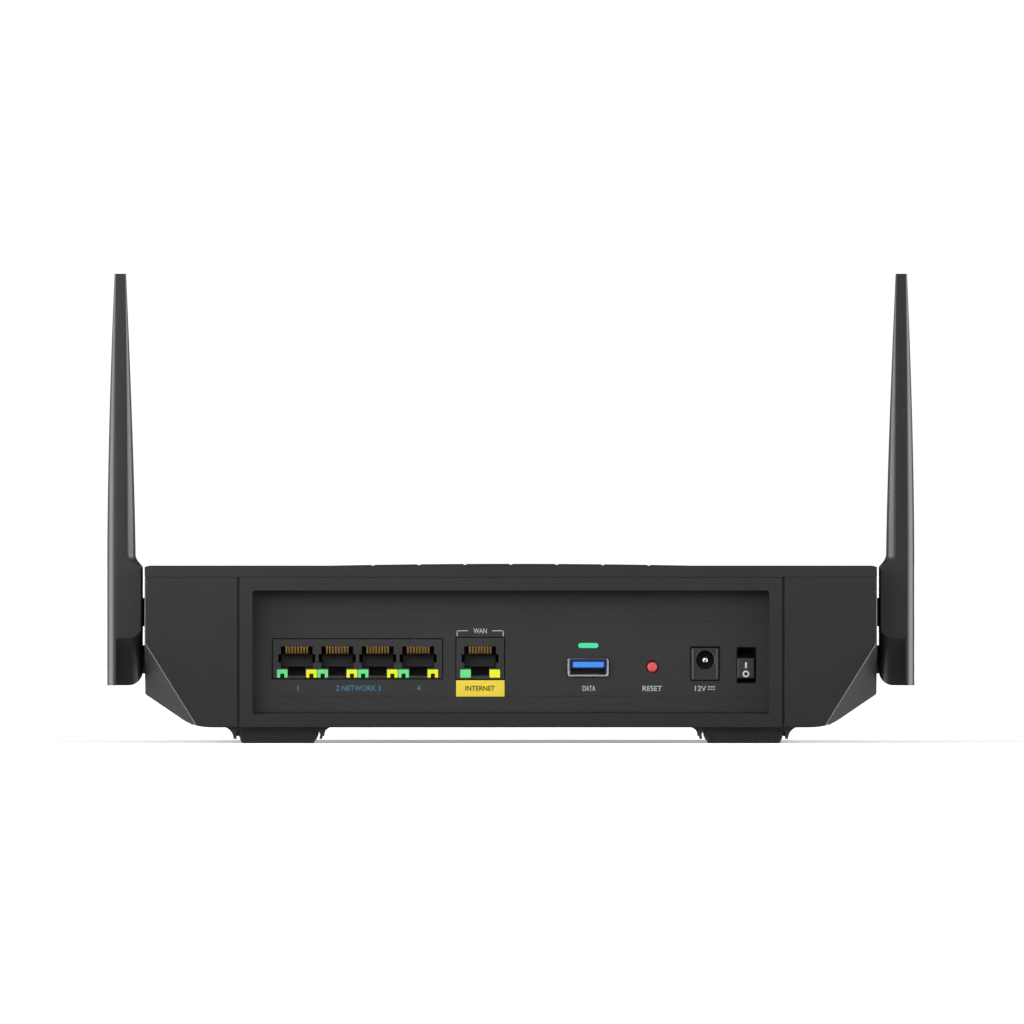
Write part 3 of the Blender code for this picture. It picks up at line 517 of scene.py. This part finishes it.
def make_grille():
    """The crowned vent: grooves from front to rear, and slanted slots in the bands between them."""
    upper = []
    bands = [GROOVE_PITCH * (i - GROOVES / 2) for i in range(GROOVES + 1)]
    half_band = (GROOVE_PITCH - GROOVE_WIDTH) / 2
    for x in reversed(bands):
        right = GRILLE_HALF_X if x == bands[-1] else x + half_band
        left = -GRILLE_HALF_X if x == bands[0] else x - half_band
        if x != bands[-1]:
            upper.append((right, crown_height(right) - GROOVE_DEPTH))
        steps = [right + (left - right) * i / 6 for i in range(7)]
        upper += [(u, crown_height(u)) for u in steps]
        if x != bands[0]:
            upper.append((left, crown_height(left) - GROOVE_DEPTH))
    lower = [(x, crown_height(x) - 2.0) for x in bands]
    grille = prism("vent_grille_fine", "Y", upper + lower, -GRILLE_HALF_Y, GRILLE_HALF_Y)
    soften(grille, 0.14, 2, 50.0)
    combine(grille, [prism("trim", "Z", grille_outline(0.0), 40, 80)], "INTERSECT")
    slots = []
    for x in bands:
        rise = math.copysign(SLOT_RISE, x)
        for row in range(SLOT_ROWS):
            y = (row - (SLOT_ROWS - 1) / 2) * SLOT_PITCH
            right_end = arc((x + SLOT_HALF, y + rise), SLOT_RADIUS, -82, 98, 6)
            slots.append(right_end + arc((x - SLOT_HALF, y - rise), SLOT_RADIUS, 98, 278, 6))
    cut(grille, prisms("slots", "Z", slots, 40, 80))
    dress(grille, MATERIALS["grille"], "case", "grille_plastic", "vent_grille")


def make_rear_frame():
    """The border around the recess, the flange behind its seams, and the walls of the recess."""
    half, top = FRAME_HALF - 0.85, COVER_SEAM - SEAM / 2
    border = box("connector_frame", (-half, half), (-HALF_DEPTH, WALL - HALF_DEPTH), (BODY_BOTTOM, top))
    cut(border, lean_cutter("frame_lean", -1))
    soften(border, 0.15, 2)
    half, behind = FRAME_HALF - 0.1, 1.1
    flange = box("frame_flange", (-half, half), (behind - HALF_DEPTH, WALL - HALF_DEPTH),
                 (BODY_BOTTOM + 0.3, top - 0.3))
    cut(flange, lean_cutter("flange_lean", -1, behind))
    add(border, flange)
    outer, back = RECESS_HALF + RECESS_WALL, RECESS_DEPTH - HALF_DEPTH
    walls = rounded(-outer, outer, RECESS_LOW - RECESS_WALL, RECESS_HIGH + RECESS_WALL, 2.0)
    space = rounded(-RECESS_HALF, RECESS_HALF, RECESS_LOW, RECESS_HIGH, 1.0)
    add(border, prism("tunnel", "Y", walls, 1.9 - HALF_DEPTH, back))
    cut(border, prism("opening", "Y", space, -HALF_DEPTH - 1, back + 1))
    soften(border, 0.22, 2, 60.0)
    dress(border, MATERIALS["case"], "case", "case_plastic", "rear_frame")


def make_panel():
    outer, gap = RECESS_HALF + RECESS_WALL - 0.2, 0.3
    panel = box("connector_panel", (-outer, outer), (PANEL_FRONT - 0.25, PANEL_FRONT + PANEL_THICK),
                (RECESS_LOW - RECESS_WALL + 0.2, RECESS_HIGH + RECESS_WALL - 0.2))
    usb_x, usb_z = USB_HALF_W + gap, USB_HALF_H + gap
    x, z = SWITCH_BLOCK_X, SWITCH_BLOCK_Z
    holes = [around(LAN_BLOCK_X, LAN_BLOCK_Z, gap), around(WAN_BLOCK_X, WAN_BLOCK_Z, gap),
             rounded(USB_X - usb_x, USB_X + usb_x, USB_Z - usb_z, USB_Z + usb_z, 1.0),
             rounded(23.1, 30.4, 32.65, 34.75, 1.03, 8),
             circle((RESET_X, RESET_Z), 2.4, 48),
             around(DC_BLOCK_X, (DC_BLOCK_Z[0], DC_HOLE_TOP), gap),
             rounded(x[0] - 0.1, x[1] + 0.1, z[0] - 0.1, z[1] + 0.1, 0.7)]
    cut(panel, prisms("holes", "Y", holes, PANEL_FRONT - 2, PANEL_FRONT + 5))
    lines = [rectangle(-RECESS_HALF, RECESS_HALF, z - 0.16, z + 0.16) for z in (42.1, 16.1)]
    cut(panel, prisms("panel_lines", "Y", lines, PANEL_FRONT - 2, PANEL_FRONT - 0.05))
    edge = rectangle(-RECESS_HALF, RECESS_HALF, RECESS_LOW - 0.9, RECESS_LOW + 0.9)
    cut(panel, prism("panel_edge", "Y", edge, PANEL_FRONT - 2, PANEL_FRONT + 0.5))
    # The panel takes the lightened copy of the case plastic: painted light against the recess's shade.
    dress(panel, MATERIALS["recess"], "case", "recess_plastic", "io_panel")


def make_pads():
    for side, side_name in ((-1, "left"), (1, "right")):
        for end, end_name in ((-1, "rear"), (1, "front")):
            x, y = side * FOOT_X, end * FOOT_Y
            rings = []
            for half, pull, z in PAD_LEVELS:
                length = FOOT_HALF_LENGTH - pull
                outline = rounded(x - half, x + half, y - length, y + length, 0.8)
                rings.append([(u, v, z) for u, v in outline])
            pad = loft(f"{side_name}_{end_name}_pad", rings)
            middles = [y + 4.0 * i for i in (-2, -1, 0, 1, 2)]
            grooves = [rectangle(x - 11.0, x + 11.0, middle - 0.4, middle + 0.4) for middle in middles]
            cut(pad, prisms("pad_grooves", "Z", grooves, -1, 0.5))
            dress(pad, MATERIALS["pad"], "case", "foot_rubber", f"{side_name}_{end_name}_foot_pad")


def make_status_light():
    profile = ((1.7, 96.0), (1.7, 101.7), (1.5, 101.9), (1.0, 102.0))
    light = turned("status_lens", "Y", (0, STATUS_Z), profile, 32)
    dress(light, MATERIALS["white_light"], "case", "white_light", "status_light_pipe")


# ---------------------------------------------------------------- connectors

def socket_outline(x):
    """The mouth of a network socket, with the plug's latch channel in steps at its foot."""
    right = [(3.0, 23.3), (3.0, 26.0), (5.5, 26.0), (5.5, 27.8),
             (6.4, 27.8), (6.4, 30.7), (5.5, 30.7), (5.5, 33.4)]
    return [(x + u, z) for u, z in mirrored(right)]


def contact_strip(x):
    """One spring contact: from the roof of the mouth it slopes back and down, then rises behind."""
    path = [(0.7, 33.35), (0.8, 33.2), (1.3, 32.2), (2.0, 31.2), (2.8, 30.9), (7.0, 31.2)]
    half, thick = 0.3, 0.3
    return [[(x - half, JACK_FACE + y, z), (x + half, JACK_FACE + y, z),
             (x + half, JACK_FACE + y, z - thick), (x - half, JACK_FACE + y, z - thick)] for y, z in path]


def light_outline(x, notched):
    """The face of a small light pipe, with a notch at the foot of those in the ganged block."""
    low, high, half = 22.6, 25.4, 1.8
    notch, notch_top = 0.75, low + 1.4
    if not notched:
        return rounded(x - half, x + half, low, high, 0.25, 3)
    return [(x + half, low), (x + half, high), (x - half, high), (x - half, low),
            (x - notch, low), (x - notch, notch_top), (x + notch, notch_top), (x + notch, low)]


def make_jack(name, centres, x, z, notched):
    block = prism(f"{name}_block", "Y", rectangle(*x, *z), JACK_FACE, JACK_FACE + 21.0)
    soften(block, 0.15, 2)
    lights = [centre + offset for centre in centres for offset in (-LIGHT_OFFSET, LIGHT_OFFSET)]
    pockets = [rectangle(light - 1.9, light + 1.9, 22.45, 25.55) for light in lights]
    mouths = [socket_outline(centre) for centre in centres]
    cut(block, prisms("mouths", "Y", mouths, JACK_FACE - 1, JACK_FACE + 18.0),
        prisms("pockets", "Y", pockets, JACK_FACE - 1, JACK_FACE + 12.2))
    stops = [rectangle(centre - 5.3, centre + 5.3, 26.4, 30.6) for centre in centres]
    add(block, prisms("plug_stops", "Y", stops, JACK_FACE + 8.0, JACK_FACE + 18.5))
    dress(block, MATERIALS["jack"], "case", "jack_plastic", f"{name}_jack_block")
    for number, centre in enumerate(centres, 1):
        port = f"{name}_{number}" if len(centres) > 1 else name
        strips = lofts(f"{port}_springs", [contact_strip(centre + (i - 3.5) * 1.02) for i in range(8)])
        dress(strips, MATERIALS["gold"], "case", "gold_contact", f"{port}_contacts")
        for side, way, look in (("left", -1, "green_light"), ("right", 1, "yellow_light")):
            outline = light_outline(centre + way * LIGHT_OFFSET, notched)
            lens = prism(f"{port}_{side}_lens", "Y", outline, JACK_FACE - 0.15, JACK_FACE + 12.0)
            soften(lens, 0.18, 3)
            dress(lens, MATERIALS[look], "case", look, f"{port}_{side}_light")


def make_usb():
    """A steel shell with a lining painted pale grey-blue for the light reflected in its mouth, and a blue
    tongue set in a navy block that paints the shade around it.
    """
    x0, x1, z0, z1 = USB_X - USB_HALF_W, USB_X + USB_HALF_W, USB_Z - USB_HALF_H, USB_Z + USB_HALF_H
    shell = prism("usb_shell_fine", "Y", rounded(x0, x1, z0, z1, 0.9), JACK_FACE - 0.8, JACK_FACE + 14.0)
    mouth = rounded(x0 + 0.6, x1 - 0.6, z0 + 0.4, z1 - 0.15, 0.5)
    cut(shell, prism("mouth", "Y", mouth, JACK_FACE - 2, JACK_FACE + 13.2))
    soften(shell, 0.14, 2, 60.0)
    dress(shell, MATERIALS["steel"], "case", "steel", "usb_shell")
    # The lining is black plastic; its pale grey-blue paints the light reflected in the mouth.
    skin = rounded(x0 + 0.65, x1 - 0.65, z0 + 0.45, z1 - 0.2, 0.45)
    painted_light_lining = prism("usb_lining", "Y", skin, JACK_FACE - 0.2, JACK_FACE + 13.0)
    space = rounded(x0 + 0.9, x1 - 0.9, z0 + 0.7, z1 - 0.45, 0.3)
    cut(painted_light_lining, prism("lining_space", "Y", space, JACK_FACE - 2, JACK_FACE + 9.0))
    dress(painted_light_lining, MATERIALS["painted_light_lining"], "case", "black_plastic")
    # A navy block fills the mouth around the tongue, where there is only shade: painted shade.
    roof = rectangle(x0 + 0.7, x1 - 0.7, 25.7, z1 - 0.16)
    mouth_shade_block = prism("usb_mouth_painted_shade", "Y", roof, JACK_FACE - 0.75, JACK_FACE + 8.5)
    soften(mouth_shade_block, 0.2, 2)
    dress(mouth_shade_block, MATERIALS["painted_shade_navy"], "case", "blue_plastic")
    tongue = box("usb_tongue_fine", (21.5, 32.0), (JACK_FACE - 0.85, JACK_FACE + 12.9), (26.1, 28.1))
    soften(tongue, 0.25, 3)
    slots = [rectangle(x - 0.6, x + 0.6, 25.5, 26.4) for x in USB_CONTACTS]
    cut(tongue, prisms("contact_slots", "Y", slots, JACK_FACE + 9.0, JACK_FACE + 13.5))
    dress(tongue, MATERIALS["blue"], "case", "blue_plastic", "usb_tongue")
    contacts = [rectangle(x - 0.5, x + 0.5, JACK_FACE + 1.7, JACK_FACE + 8.4) for x in USB_CONTACTS]
    pads = prisms("usb_contact_pads", "Z", contacts, 25.62, 25.72)
    dress(pads, MATERIALS["gold"], "case", "gold_contact")
    strip = rounded(23.3, 30.2, 32.8, 34.6, 0.88, 8)
    light = prism("usb_lens", "Y", strip, PANEL_FRONT - 0.5, JACK_FACE + 6.0)
    soften(light, 0.2, 3)
    dress(light, MATERIALS["usb_light"], "case", "green_light", "usb_light")


def make_reset():
    face, flange, stem, back = JACK_FACE + 0.4, -90.2, -89.2, -86.6
    profile = ((0.7, face - 0.06), (1.25, face), (1.6, face + 0.16), (1.7, face + 0.4), (1.7, flange),
               (3.1, flange), (3.1, stem), (1.3, stem), (1.3, back))
    button = turned("reset_cap", "Y", (RESET_X, RESET_Z), profile)
    dress(button, MATERIALS["red"], "reset_plunger", "red_plastic", "reset_button")


def make_dc_jack():
    body = box("dc_inlet", DC_BLOCK_X, (JACK_FACE, JACK_FACE + 13.5), DC_BLOCK_Z)
    soften(body, 0.2, 2)
    bore = ((3.5, JACK_FACE - 1), (3.5, JACK_FACE), (3.2, JACK_FACE + 0.3), (3.2, JACK_FACE + 10.0))
    cut(body, turned("mouth", "Y", (DC_X, DC_Z), bore))
    # Real ribs, but in a lighter plastic: a painted highlight along the jack's two edges.
    edges = [rectangle(x - 0.3, x + 0.3, 22.1, 32.6) for x in (62.9, 71.1)]
    ribs = prisms("dc_ribs", "Y", edges, JACK_FACE - 0.5, JACK_FACE - 0.02)
    soften(ribs, 0.15, 3)
    dress(ribs, MATERIALS["rocker"], "case", "jack_plastic")
    dress(body, MATERIALS["jack"], "case", "jack_plastic", "dc_jack_body")
    post = ((0.45, JACK_FACE + 0.3), (0.8, JACK_FACE + 0.5), (0.95, JACK_FACE + 1.0), (0.95, JACK_FACE + 9.7))
    pin = turned("dc_pin", "Y", (DC_X, DC_Z), post, 32)
    dress(pin, MATERIALS["steel"], "case", "steel", "dc_jack_pin")


def make_switch():
    """The switch housing, and its rocker with the two printed marks; a near-black sheet on its upper half
    paints the shade there.
    """
    x, z = SWITCH_BLOCK_X, SWITCH_BLOCK_Z
    housing = box("switch_frame", x, (JACK_FACE, JACK_FACE + 15.0), z)
    soften(housing, 0.35, 3)
    well = rounded(x[0] + 0.3, x[1] - 0.3, z[0] + 0.3, z[1] - 0.3, 0.5)
    cut(housing, prism("well", "Y", well, JACK_FACE - 1, JACK_FACE + 8.5))
    # The near-black housing paints the shade in the switch well.
    dress(housing, MATERIALS["hinge"], "case", "hinge_plastic", "switch_housing")
    outline = [(JACK_FACE - 0.25, 22.4), (JACK_FACE - 0.3, 29.2), (JACK_FACE + 3.4, 31.8), (-87.0, 31.0),
               (-87.0, 23.0), (-89.6, 21.8), (JACK_FACE + 1.5, 22.0)]
    rocker = prism("rocker", "X", outline, SWITCH_X - 2.9, SWITCH_X + 2.9)
    soften(rocker, 0.35, 3, 25.0)
    dress(rocker, MATERIALS["switch"], "power_rocker", "jack_plastic", "switch_rocker")
    # A near-black sheet laid over the rocker's upper slope: painted shade.
    slope = [(JACK_FACE - 0.1, 29.45), (JACK_FACE + 3.2, 31.77),
             (JACK_FACE + 3.2, 31.2), (JACK_FACE + 0.3, 29.2)]
    shade = prism("rocker_painted_shade", "X", slope, SWITCH_X - 2.85, SWITCH_X + 2.85)
    dress(shade, MATERIALS["hinge"], "power_rocker", "jack_plastic")
    face, ring_z = JACK_FACE - 0.32, 23.9
    stroke = rounded(SWITCH_X - 0.3, SWITCH_X + 0.3, 25.9, 27.9, 0.12, 2)
    bar = prism("on_mark", "Y", stroke, face, face + 0.1)
    dress(bar, MATERIALS["ink_white"], "power_rocker", "jack_plastic")
    ring = prism("off_mark", "Y", circle((SWITCH_X, ring_z), 1.15, 40), face, face + 0.1)
    cut(ring, prism("ring_space", "Y", circle((SWITCH_X, ring_z), 0.65, 32), face - 1, face + 1))
    dress(ring, MATERIALS["ink_white"], "power_rocker", "jack_plastic")


# ---------------------------------------------------------------- printing

def lettering(name, text, x, z, height, width, ink, y):
    """Printed characters of a given height and overall width, centred at x and z."""
    curve = bpy.data.curves.new(name, "FONT")
    curve.body = text
    curve.align_x = "CENTER"
    curve.extrude = 0.00002
    curve.size = 0.01
    curve.offset = 0.00014
    made = bpy.data.objects.new(name, curve)
    bpy.context.scene.collection.objects.link(made)
    bpy.context.view_layer.update()
    graph = bpy.context.evaluated_depsgraph_get()
    mesh = bpy.data.meshes.new_from_object(made.evaluated_get(graph))
    bpy.data.objects.remove(made)
    xs = [v.co.x for v in mesh.vertices]
    ys = [v.co.y for v in mesh.vertices]
    across, up = width * MM / (max(xs) - min(xs)), height * MM / (max(ys) - min(ys))
    mid_x, mid_y = (max(xs) + min(xs)) / 2, (max(ys) + min(ys)) / 2
    for vertex in mesh.vertices:
        side, rise, lift = vertex.co
        vertex.co = (x * MM + (side - mid_x) * across, y * MM - lift, z * MM + (rise - mid_y) * up)
    piece = bpy.data.objects.new(name, mesh)
    bpy.context.scene.collection.objects.link(piece)
    return dress(piece, MATERIALS[ink], "case", "recess_plastic")


def make_printing():
    face, port_z, title_z = PANEL_FRONT - 0.27, 19.0, 18.9
    lettering("port_number_1", "1", FIRST_PORT_X + 0.4, port_z, 1.9, 0.45, "ink_blue", face)
    lettering("port_numbers_2_3", "2 NETWORK 3", -52.6, port_z, 1.9, 15.4, "ink_blue", face)
    lettering("port_number_4", "4", -31.8, port_z, 1.9, 1.3, "ink_blue", face)
    lettering("wan_title", "WAN", WAN_X, 38.75, 1.7, 4.6, "ink_grey", face)
    lettering("data_title", "DATA", USB_X + 0.3, title_z, 1.8, 4.4, "ink_grey", face)
    lettering("reset_title", "RESET", RESET_X, title_z, 1.8, 6.7, "ink_grey", face)
    lettering("power_title", "12V", 65.5, title_z, 1.8, 3.9, "ink_grey", face)
    dashes = [rectangle(68.0 + 0.9 * i, 68.7 + 0.9 * i, 18.4, 18.75) for i in range(3)]
    symbol = [rectangle(68.0, 70.5, 19.3, 19.65), *dashes]
    mark = prisms("direct_current_mark", "Y", symbol, face - 0.02, face + 0.02)
    dress(mark, MATERIALS["ink_grey"], "case", "recess_plastic")
    patch = rounded(WAN_X - 8.3, WAN_X + 8.4, 16.1, 21.7, 0.2, 3)
    label = prism("wan_sticker", "Y", patch, face - 0.1, face + 0.1)
    dress(label, MATERIALS["label"], "case", "yellow_label", "wan_label")
    lettering("wan_word", "INTERNET", WAN_X, 18.95, 1.7, 10.2, "ink_dark", face - 0.12)
    lines, line_top, line = [], 38.95, 0.3
    for side in (-1, 1):
        outer, inner = WAN_X + side * 8.1, WAN_X + side * 4.2
        lines.append(rectangle(*sorted((outer, inner)), line_top - line, line_top))
        lines.append(rectangle(*sorted((outer, outer - side * line)), 36.9, line_top))
    bracket = prisms("wan_bracket", "Y", lines, face - 0.02, face + 0.02)
    dress(bracket, MATERIALS["ink_grey"], "case", "recess_plastic")


# ---------------------------------------------------------------- antennas

def blade_fraction(z):
    return max(0.0, (z - BLADE_WAIST) / (BLADE_TIP - BLADE_WAIST))


def blade_outer(z):
    return BLADE_OUTER - 2.5 * blade_fraction(z) ** 1.7


def base_share(z):
    """0 in the thick base, 1 in the blade, with a smooth step between."""
    t = min(1.0, max(0.0, (z - BASE_TOP) / (BLADE_WAIST + 0.6 - BASE_TOP)))
    return math.sin(math.pi / 2 * t)


def blade_inner(z):
    return BASE_INNER + (BLADE_INNER - BASE_INNER) * base_share(z) + 3.3 * blade_fraction(z) ** 1.35


def blade_flat(z):
    """Where the flat edge ends on its inner side."""
    return max(127.9 + 5.3 * base_share(z), blade_inner(z) + 0.12)


def blade_half_depth(z):
    rise = max(0.0, (z - BLADE_HEEL) / (BLADE_TIP - BLADE_HEEL))
    return BLADE_HALF_DEPTH - (BLADE_HALF_DEPTH - TIP_HALF_DEPTH) * rise


def blade_ring(side, z):
    """A section with flat front and rear edges that roll into the two broad faces."""
    half, steps = blade_half_depth(z), 9
    outer, inner, flat = blade_outer(z), blade_inner(z), blade_flat(z)
    quarter = [math.pi / 2 * i / steps for i in range(steps + 1)]
    outward, inward = (OUTER_SKIN, outer), (flat, inner)
    rolls = []
    for end, (limit, stop) in ((-1, outward), (1, outward), (1, inward), (-1, inward)):
        run = stop - limit
        drop = 1.6 * abs(run)
        turn = [(limit + run * math.sin(t), end * (half - drop * (1 - math.cos(t)))) for t in quarter]
        forward = (end == -1) == (stop > limit)
        rolls += turn if forward else list(reversed(turn))
    return [(side * x, PIVOT_Y + y, z) for x, y in rolls]


def heel_cutter(name, side, start, end, reach):
    """A cutter for what is below the antenna's foot, which leaves the heel's inner corner rounded."""
    rings = []
    for y, z in (start, end):
        bend = arc((BASE_INNER + HEEL_RADIUS, z + HEEL_RADIUS), HEEL_RADIUS, 180, 270, 14)
        outline = [(BASE_INNER, z + 30.0), *bend, (reach, z), (reach, z - 40.0),
                   (110.0, z - 40.0), (110.0, z + 30.0)]
        rings.append([(side * x, PIVOT_Y + y, height) for x, height in outline])
    return loft(name, rings)


def heel_cutters(side):
    slope = (BLADE_HEEL - BLADE_LOW) / (BLADE_HALF_DEPTH - FLAT_BOTTOM_HALF)
    far, high = BLADE_HALF_DEPTH + 6.0, BLADE_HEEL + slope * 6.0
    near = FLAT_BOTTOM_HALF
    return [heel_cutter("heel_rear", side, (-far, high), (-near, BLADE_LOW), OUTER_SKIN),
            heel_cutter("heel_front", side, (near, BLADE_LOW), (far, high), OUTER_SKIN),
            heel_cutter("heel_low", side, (-far, BLADE_LOW), (far, BLADE_LOW), 150.0)]


def blade_levels():
    start = 68.0
    base = [10.0, 30.0, 50.0] + [60.0 + 0.5 * i for i in range(13)]
    return base + [start + (BLADE_TIP - start) * i / 24 for i in range(25)]


def plate_rings(side, low, high, inset, thick):
    """Sections of the cover plate in the blade's inner face, or of the pocket that it fills."""
    rings = []
    for z in (low + (high - low) * i / 20 for i in range(21)):
        half = blade_half_depth(z) - 6.0 - inset
        near = blade_inner(z) + thick[0]
        rings.append([(side * x, PIVOT_Y + y, z) for x, y in rectangle(near, near + thick[1], -half, half)])
    return rings


def make_antenna(side, name):
    body, gap = f"{name}_antenna", 0.12
    blade = loft(f"{name}_blade", [blade_ring(side, z) for z in blade_levels()])
    cut(blade, *heel_cutters(side))
    soften(blade, 0.4, 4, 20.0)
    bore = circle((PIVOT_Y, PIVOT_Z), HUB_RADIUS + HUB_GAP, 64)
    seat = prism("seat", "X", bore, side * 120.0, side * 131.5)
    cut(blade, loft("pocket", plate_rings(side, PLATE_LOW, PLATE_HIGH, 0.0, (-4.0, 5.3))), seat)
    dress(blade, MATERIALS["antenna"], body, "antenna_plastic", f"{name}_antenna_shell")
    rings = plate_rings(side, PLATE_LOW + gap, PLATE_HIGH - gap, gap, (0.0, 1.2))
    plate = loft(f"{name}_blade_plate", rings)
    dress(plate, MATERIALS["antenna"], body, "antenna_plastic", f"{name}_antenna_cover")


# ---------------------------------------------------------------- design nodes kept with better materials

def dress_kept_nodes():
    kept = {"main_board": "board", "processor_shield": "steel", "radio_shield": "steel",
            "heat_sink": "aluminium", "thermal_pad": "thermal", "reset_switch": "black"}
    for number in range(1, 5):
        kept[f"case_screw_{number}"] = "black"
    for name in ("left", "right"):
        kept[f"{name}_antenna_radiator"] = "board"
        # The hub takes the near-black painted shade of the gap it sits in.
        kept[f"{name}_antenna_hub"] = "hinge"
        kept[f"{name}_friction_washer"] = "black"
        kept[f"{name}_antenna_coax"] = "black"
    for node, look in kept.items():
        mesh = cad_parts[node].data
        mesh.materials.clear()
        mesh.materials.append(MATERIALS[look])


# ---------------------------------------------------------------- studio

def make_floor():
    """A pale floor that keeps its own glow out of the light on the object."""
    corner_points = [(x, y, 0.0) for x, y in rectangle(-FLOOR_HALF, FLOOR_HALF, -FLOOR_HALF, FLOOR_HALF)]
    floor = mesh_object("floor", corner_points, [[0, 1, 2, 3]])
    made, _, _, shader = new_material("pale_floor")
    shader.inputs["Base Color"].default_value = (0.90, 0.90, 0.90, 1.0)
    shader.inputs["Emission Color"].default_value = (1.0, 1.0, 1.0, 1.0)
    shader.inputs["Emission Strength"].default_value = FLOOR_GLOW
    shader.inputs["Roughness"].default_value = 0.9
    shader.inputs["Specular IOR Level"].default_value = 0.0
    floor.data.materials.append(made)
    floor.visible_diffuse = floor.visible_glossy = False


def make_world():
    """Bright sides, an even front, a dark back and floor, and a white backdrop to the camera."""
    world = bpy.data.worlds.new("studio")
    bpy.context.scene.world = world
    world.use_nodes = True
    nodes, links = world.node_tree.nodes, world.node_tree.links
    background = nodes["Background"]
    place = nodes.new("ShaderNodeTexCoord")
    split = nodes.new("ShaderNodeSeparateXYZ")
    links.new(place.outputs["Generated"], split.inputs["Vector"])

    def step(source, start, end, low, high):
        made = nodes.new("ShaderNodeMapRange")
        made.interpolation_type = "SMOOTHSTEP"
        for name, value in (("From Min", start), ("From Max", end), ("To Min", low), ("To Max", high)):
            made.inputs[name].default_value = value
        links.new(source, made.inputs["Value"])
        return made.outputs["Result"]

    def joined(operation, first, second):
        made = nodes.new("ShaderNodeMath")
        made.operation = operation
        for socket, value in zip(made.inputs, (first, second)):
            if isinstance(value, float):
                socket.default_value = value
            else:
                links.new(value, socket)
        return made.outputs["Value"]

    across, depth, up = split.outputs["X"], split.outputs["Y"], split.outputs["Z"]
    wide = joined("ABSOLUTE", across, 0.0)
    above, below = step(up, -0.05, 0.05, 0.0, 1.0), step(up, -0.05, 0.05, 1.0, 0.0)
    room = joined("MULTIPLY", step(depth, -0.5, 0.6, FRONT_LIGHT, BACK_LIGHT), above)
    floor = joined("MULTIPLY", step(depth, -0.9, -0.5, FLOOR_AHEAD, FLOOR_BELOW), below)
    room = joined("ADD", room, floor)
    room = joined("MULTIPLY", room, step(up, 0.25, 0.60, 1.0, TOP_SHARE))
    sides = step(wide, 0.74, 0.92, 0.0, SIDE_LIGHT)
    for start, end, low, high in ((-0.45, -0.20, 0.0, 1.0), (0.55, 0.75, 1.0, 0.0)):
        sides = joined("MULTIPLY", sides, step(up, start, end, low, high))
    room = joined("ADD", room, sides)
    toward = joined("MULTIPLY", wide, GLINT_WAY[0])
    for source, share in ((depth, GLINT_WAY[1]), (up, GLINT_WAY[2])):
        toward = joined("ADD", toward, joined("MULTIPLY", source, share))
    room = joined("ADD", room, step(toward, 0.87, 0.97, 0.0, GLINT))
    path = nodes.new("ShaderNodeLightPath")
    mix = nodes.new("ShaderNodeMix")
    links.new(path.outputs["Is Camera Ray"], mix.inputs["Factor"])
    links.new(room, mix.inputs["A"])
    mix.inputs["B"].default_value = BACKDROP
    links.new(mix.outputs["Result"], background.inputs["Strength"])
    background.inputs["Color"].default_value = (1.0, 1.0, 1.0, 1.0)


def softbox(name, place, size, power):
    light = bpy.data.lights.new(name, "AREA")
    light.shape = "RECTANGLE"
    light.size, light.size_y = size
    light.energy = power
    made = bpy.data.objects.new(name, light)
    made.location = place
    made.rotation_euler = (Vector(LIGHTS_AIM) - Vector(place)).to_track_quat("-Z", "Y").to_euler()
    made.visible_camera = False
    bpy.context.scene.collection.objects.link(made)


def make_lights():
    softbox("top_softbox", (0.0, -0.2, 2.2), (1.8, 1.8), 3.0)
    softbox("front_left_softbox", (-0.45, -0.95, 0.40), (0.5, 0.5), 2.6)


def make_camera():
    """A very long lens, almost level, as a catalogue picture is taken."""
    data = bpy.data.cameras.new("camera")
    data.lens, data.sensor_width = LENS, SENSOR
    distance, rise = VIEW_WIDTH * data.lens / data.sensor_width, math.radians(CAMERA_RISE)
    back = Vector((0.0, -math.cos(rise), math.sin(rise)))
    data.clip_start, data.clip_end = 1.0, 100.0
    camera = bpy.data.objects.new("camera", data)
    camera.location = Vector(CAMERA_AIM) + back * distance
    camera.rotation_euler = (-back).to_track_quat("-Z", "Y").to_euler()
    bpy.context.scene.collection.objects.link(camera)
    bpy.context.scene.camera = camera


make_camera()
make_housing()
make_cover()
make_grille()
make_rear_frame()
make_panel()
make_pads()
make_status_light()
make_jack("lan", [FIRST_PORT_X + PORT_PITCH * i for i in range(4)], LAN_BLOCK_X, LAN_BLOCK_Z, True)
make_jack("wan", [WAN_X], WAN_BLOCK_X, WAN_BLOCK_Z, False)
make_usb()
make_reset()
make_dc_jack()
make_switch()
make_printing()
for side, name in ((-1, "left"), (1, "right")):
    make_antenna(side, name)
dress_kept_nodes()
make_floor()
make_world()
make_lights()
bpy.context.scene.view_settings.view_transform = "Standard"
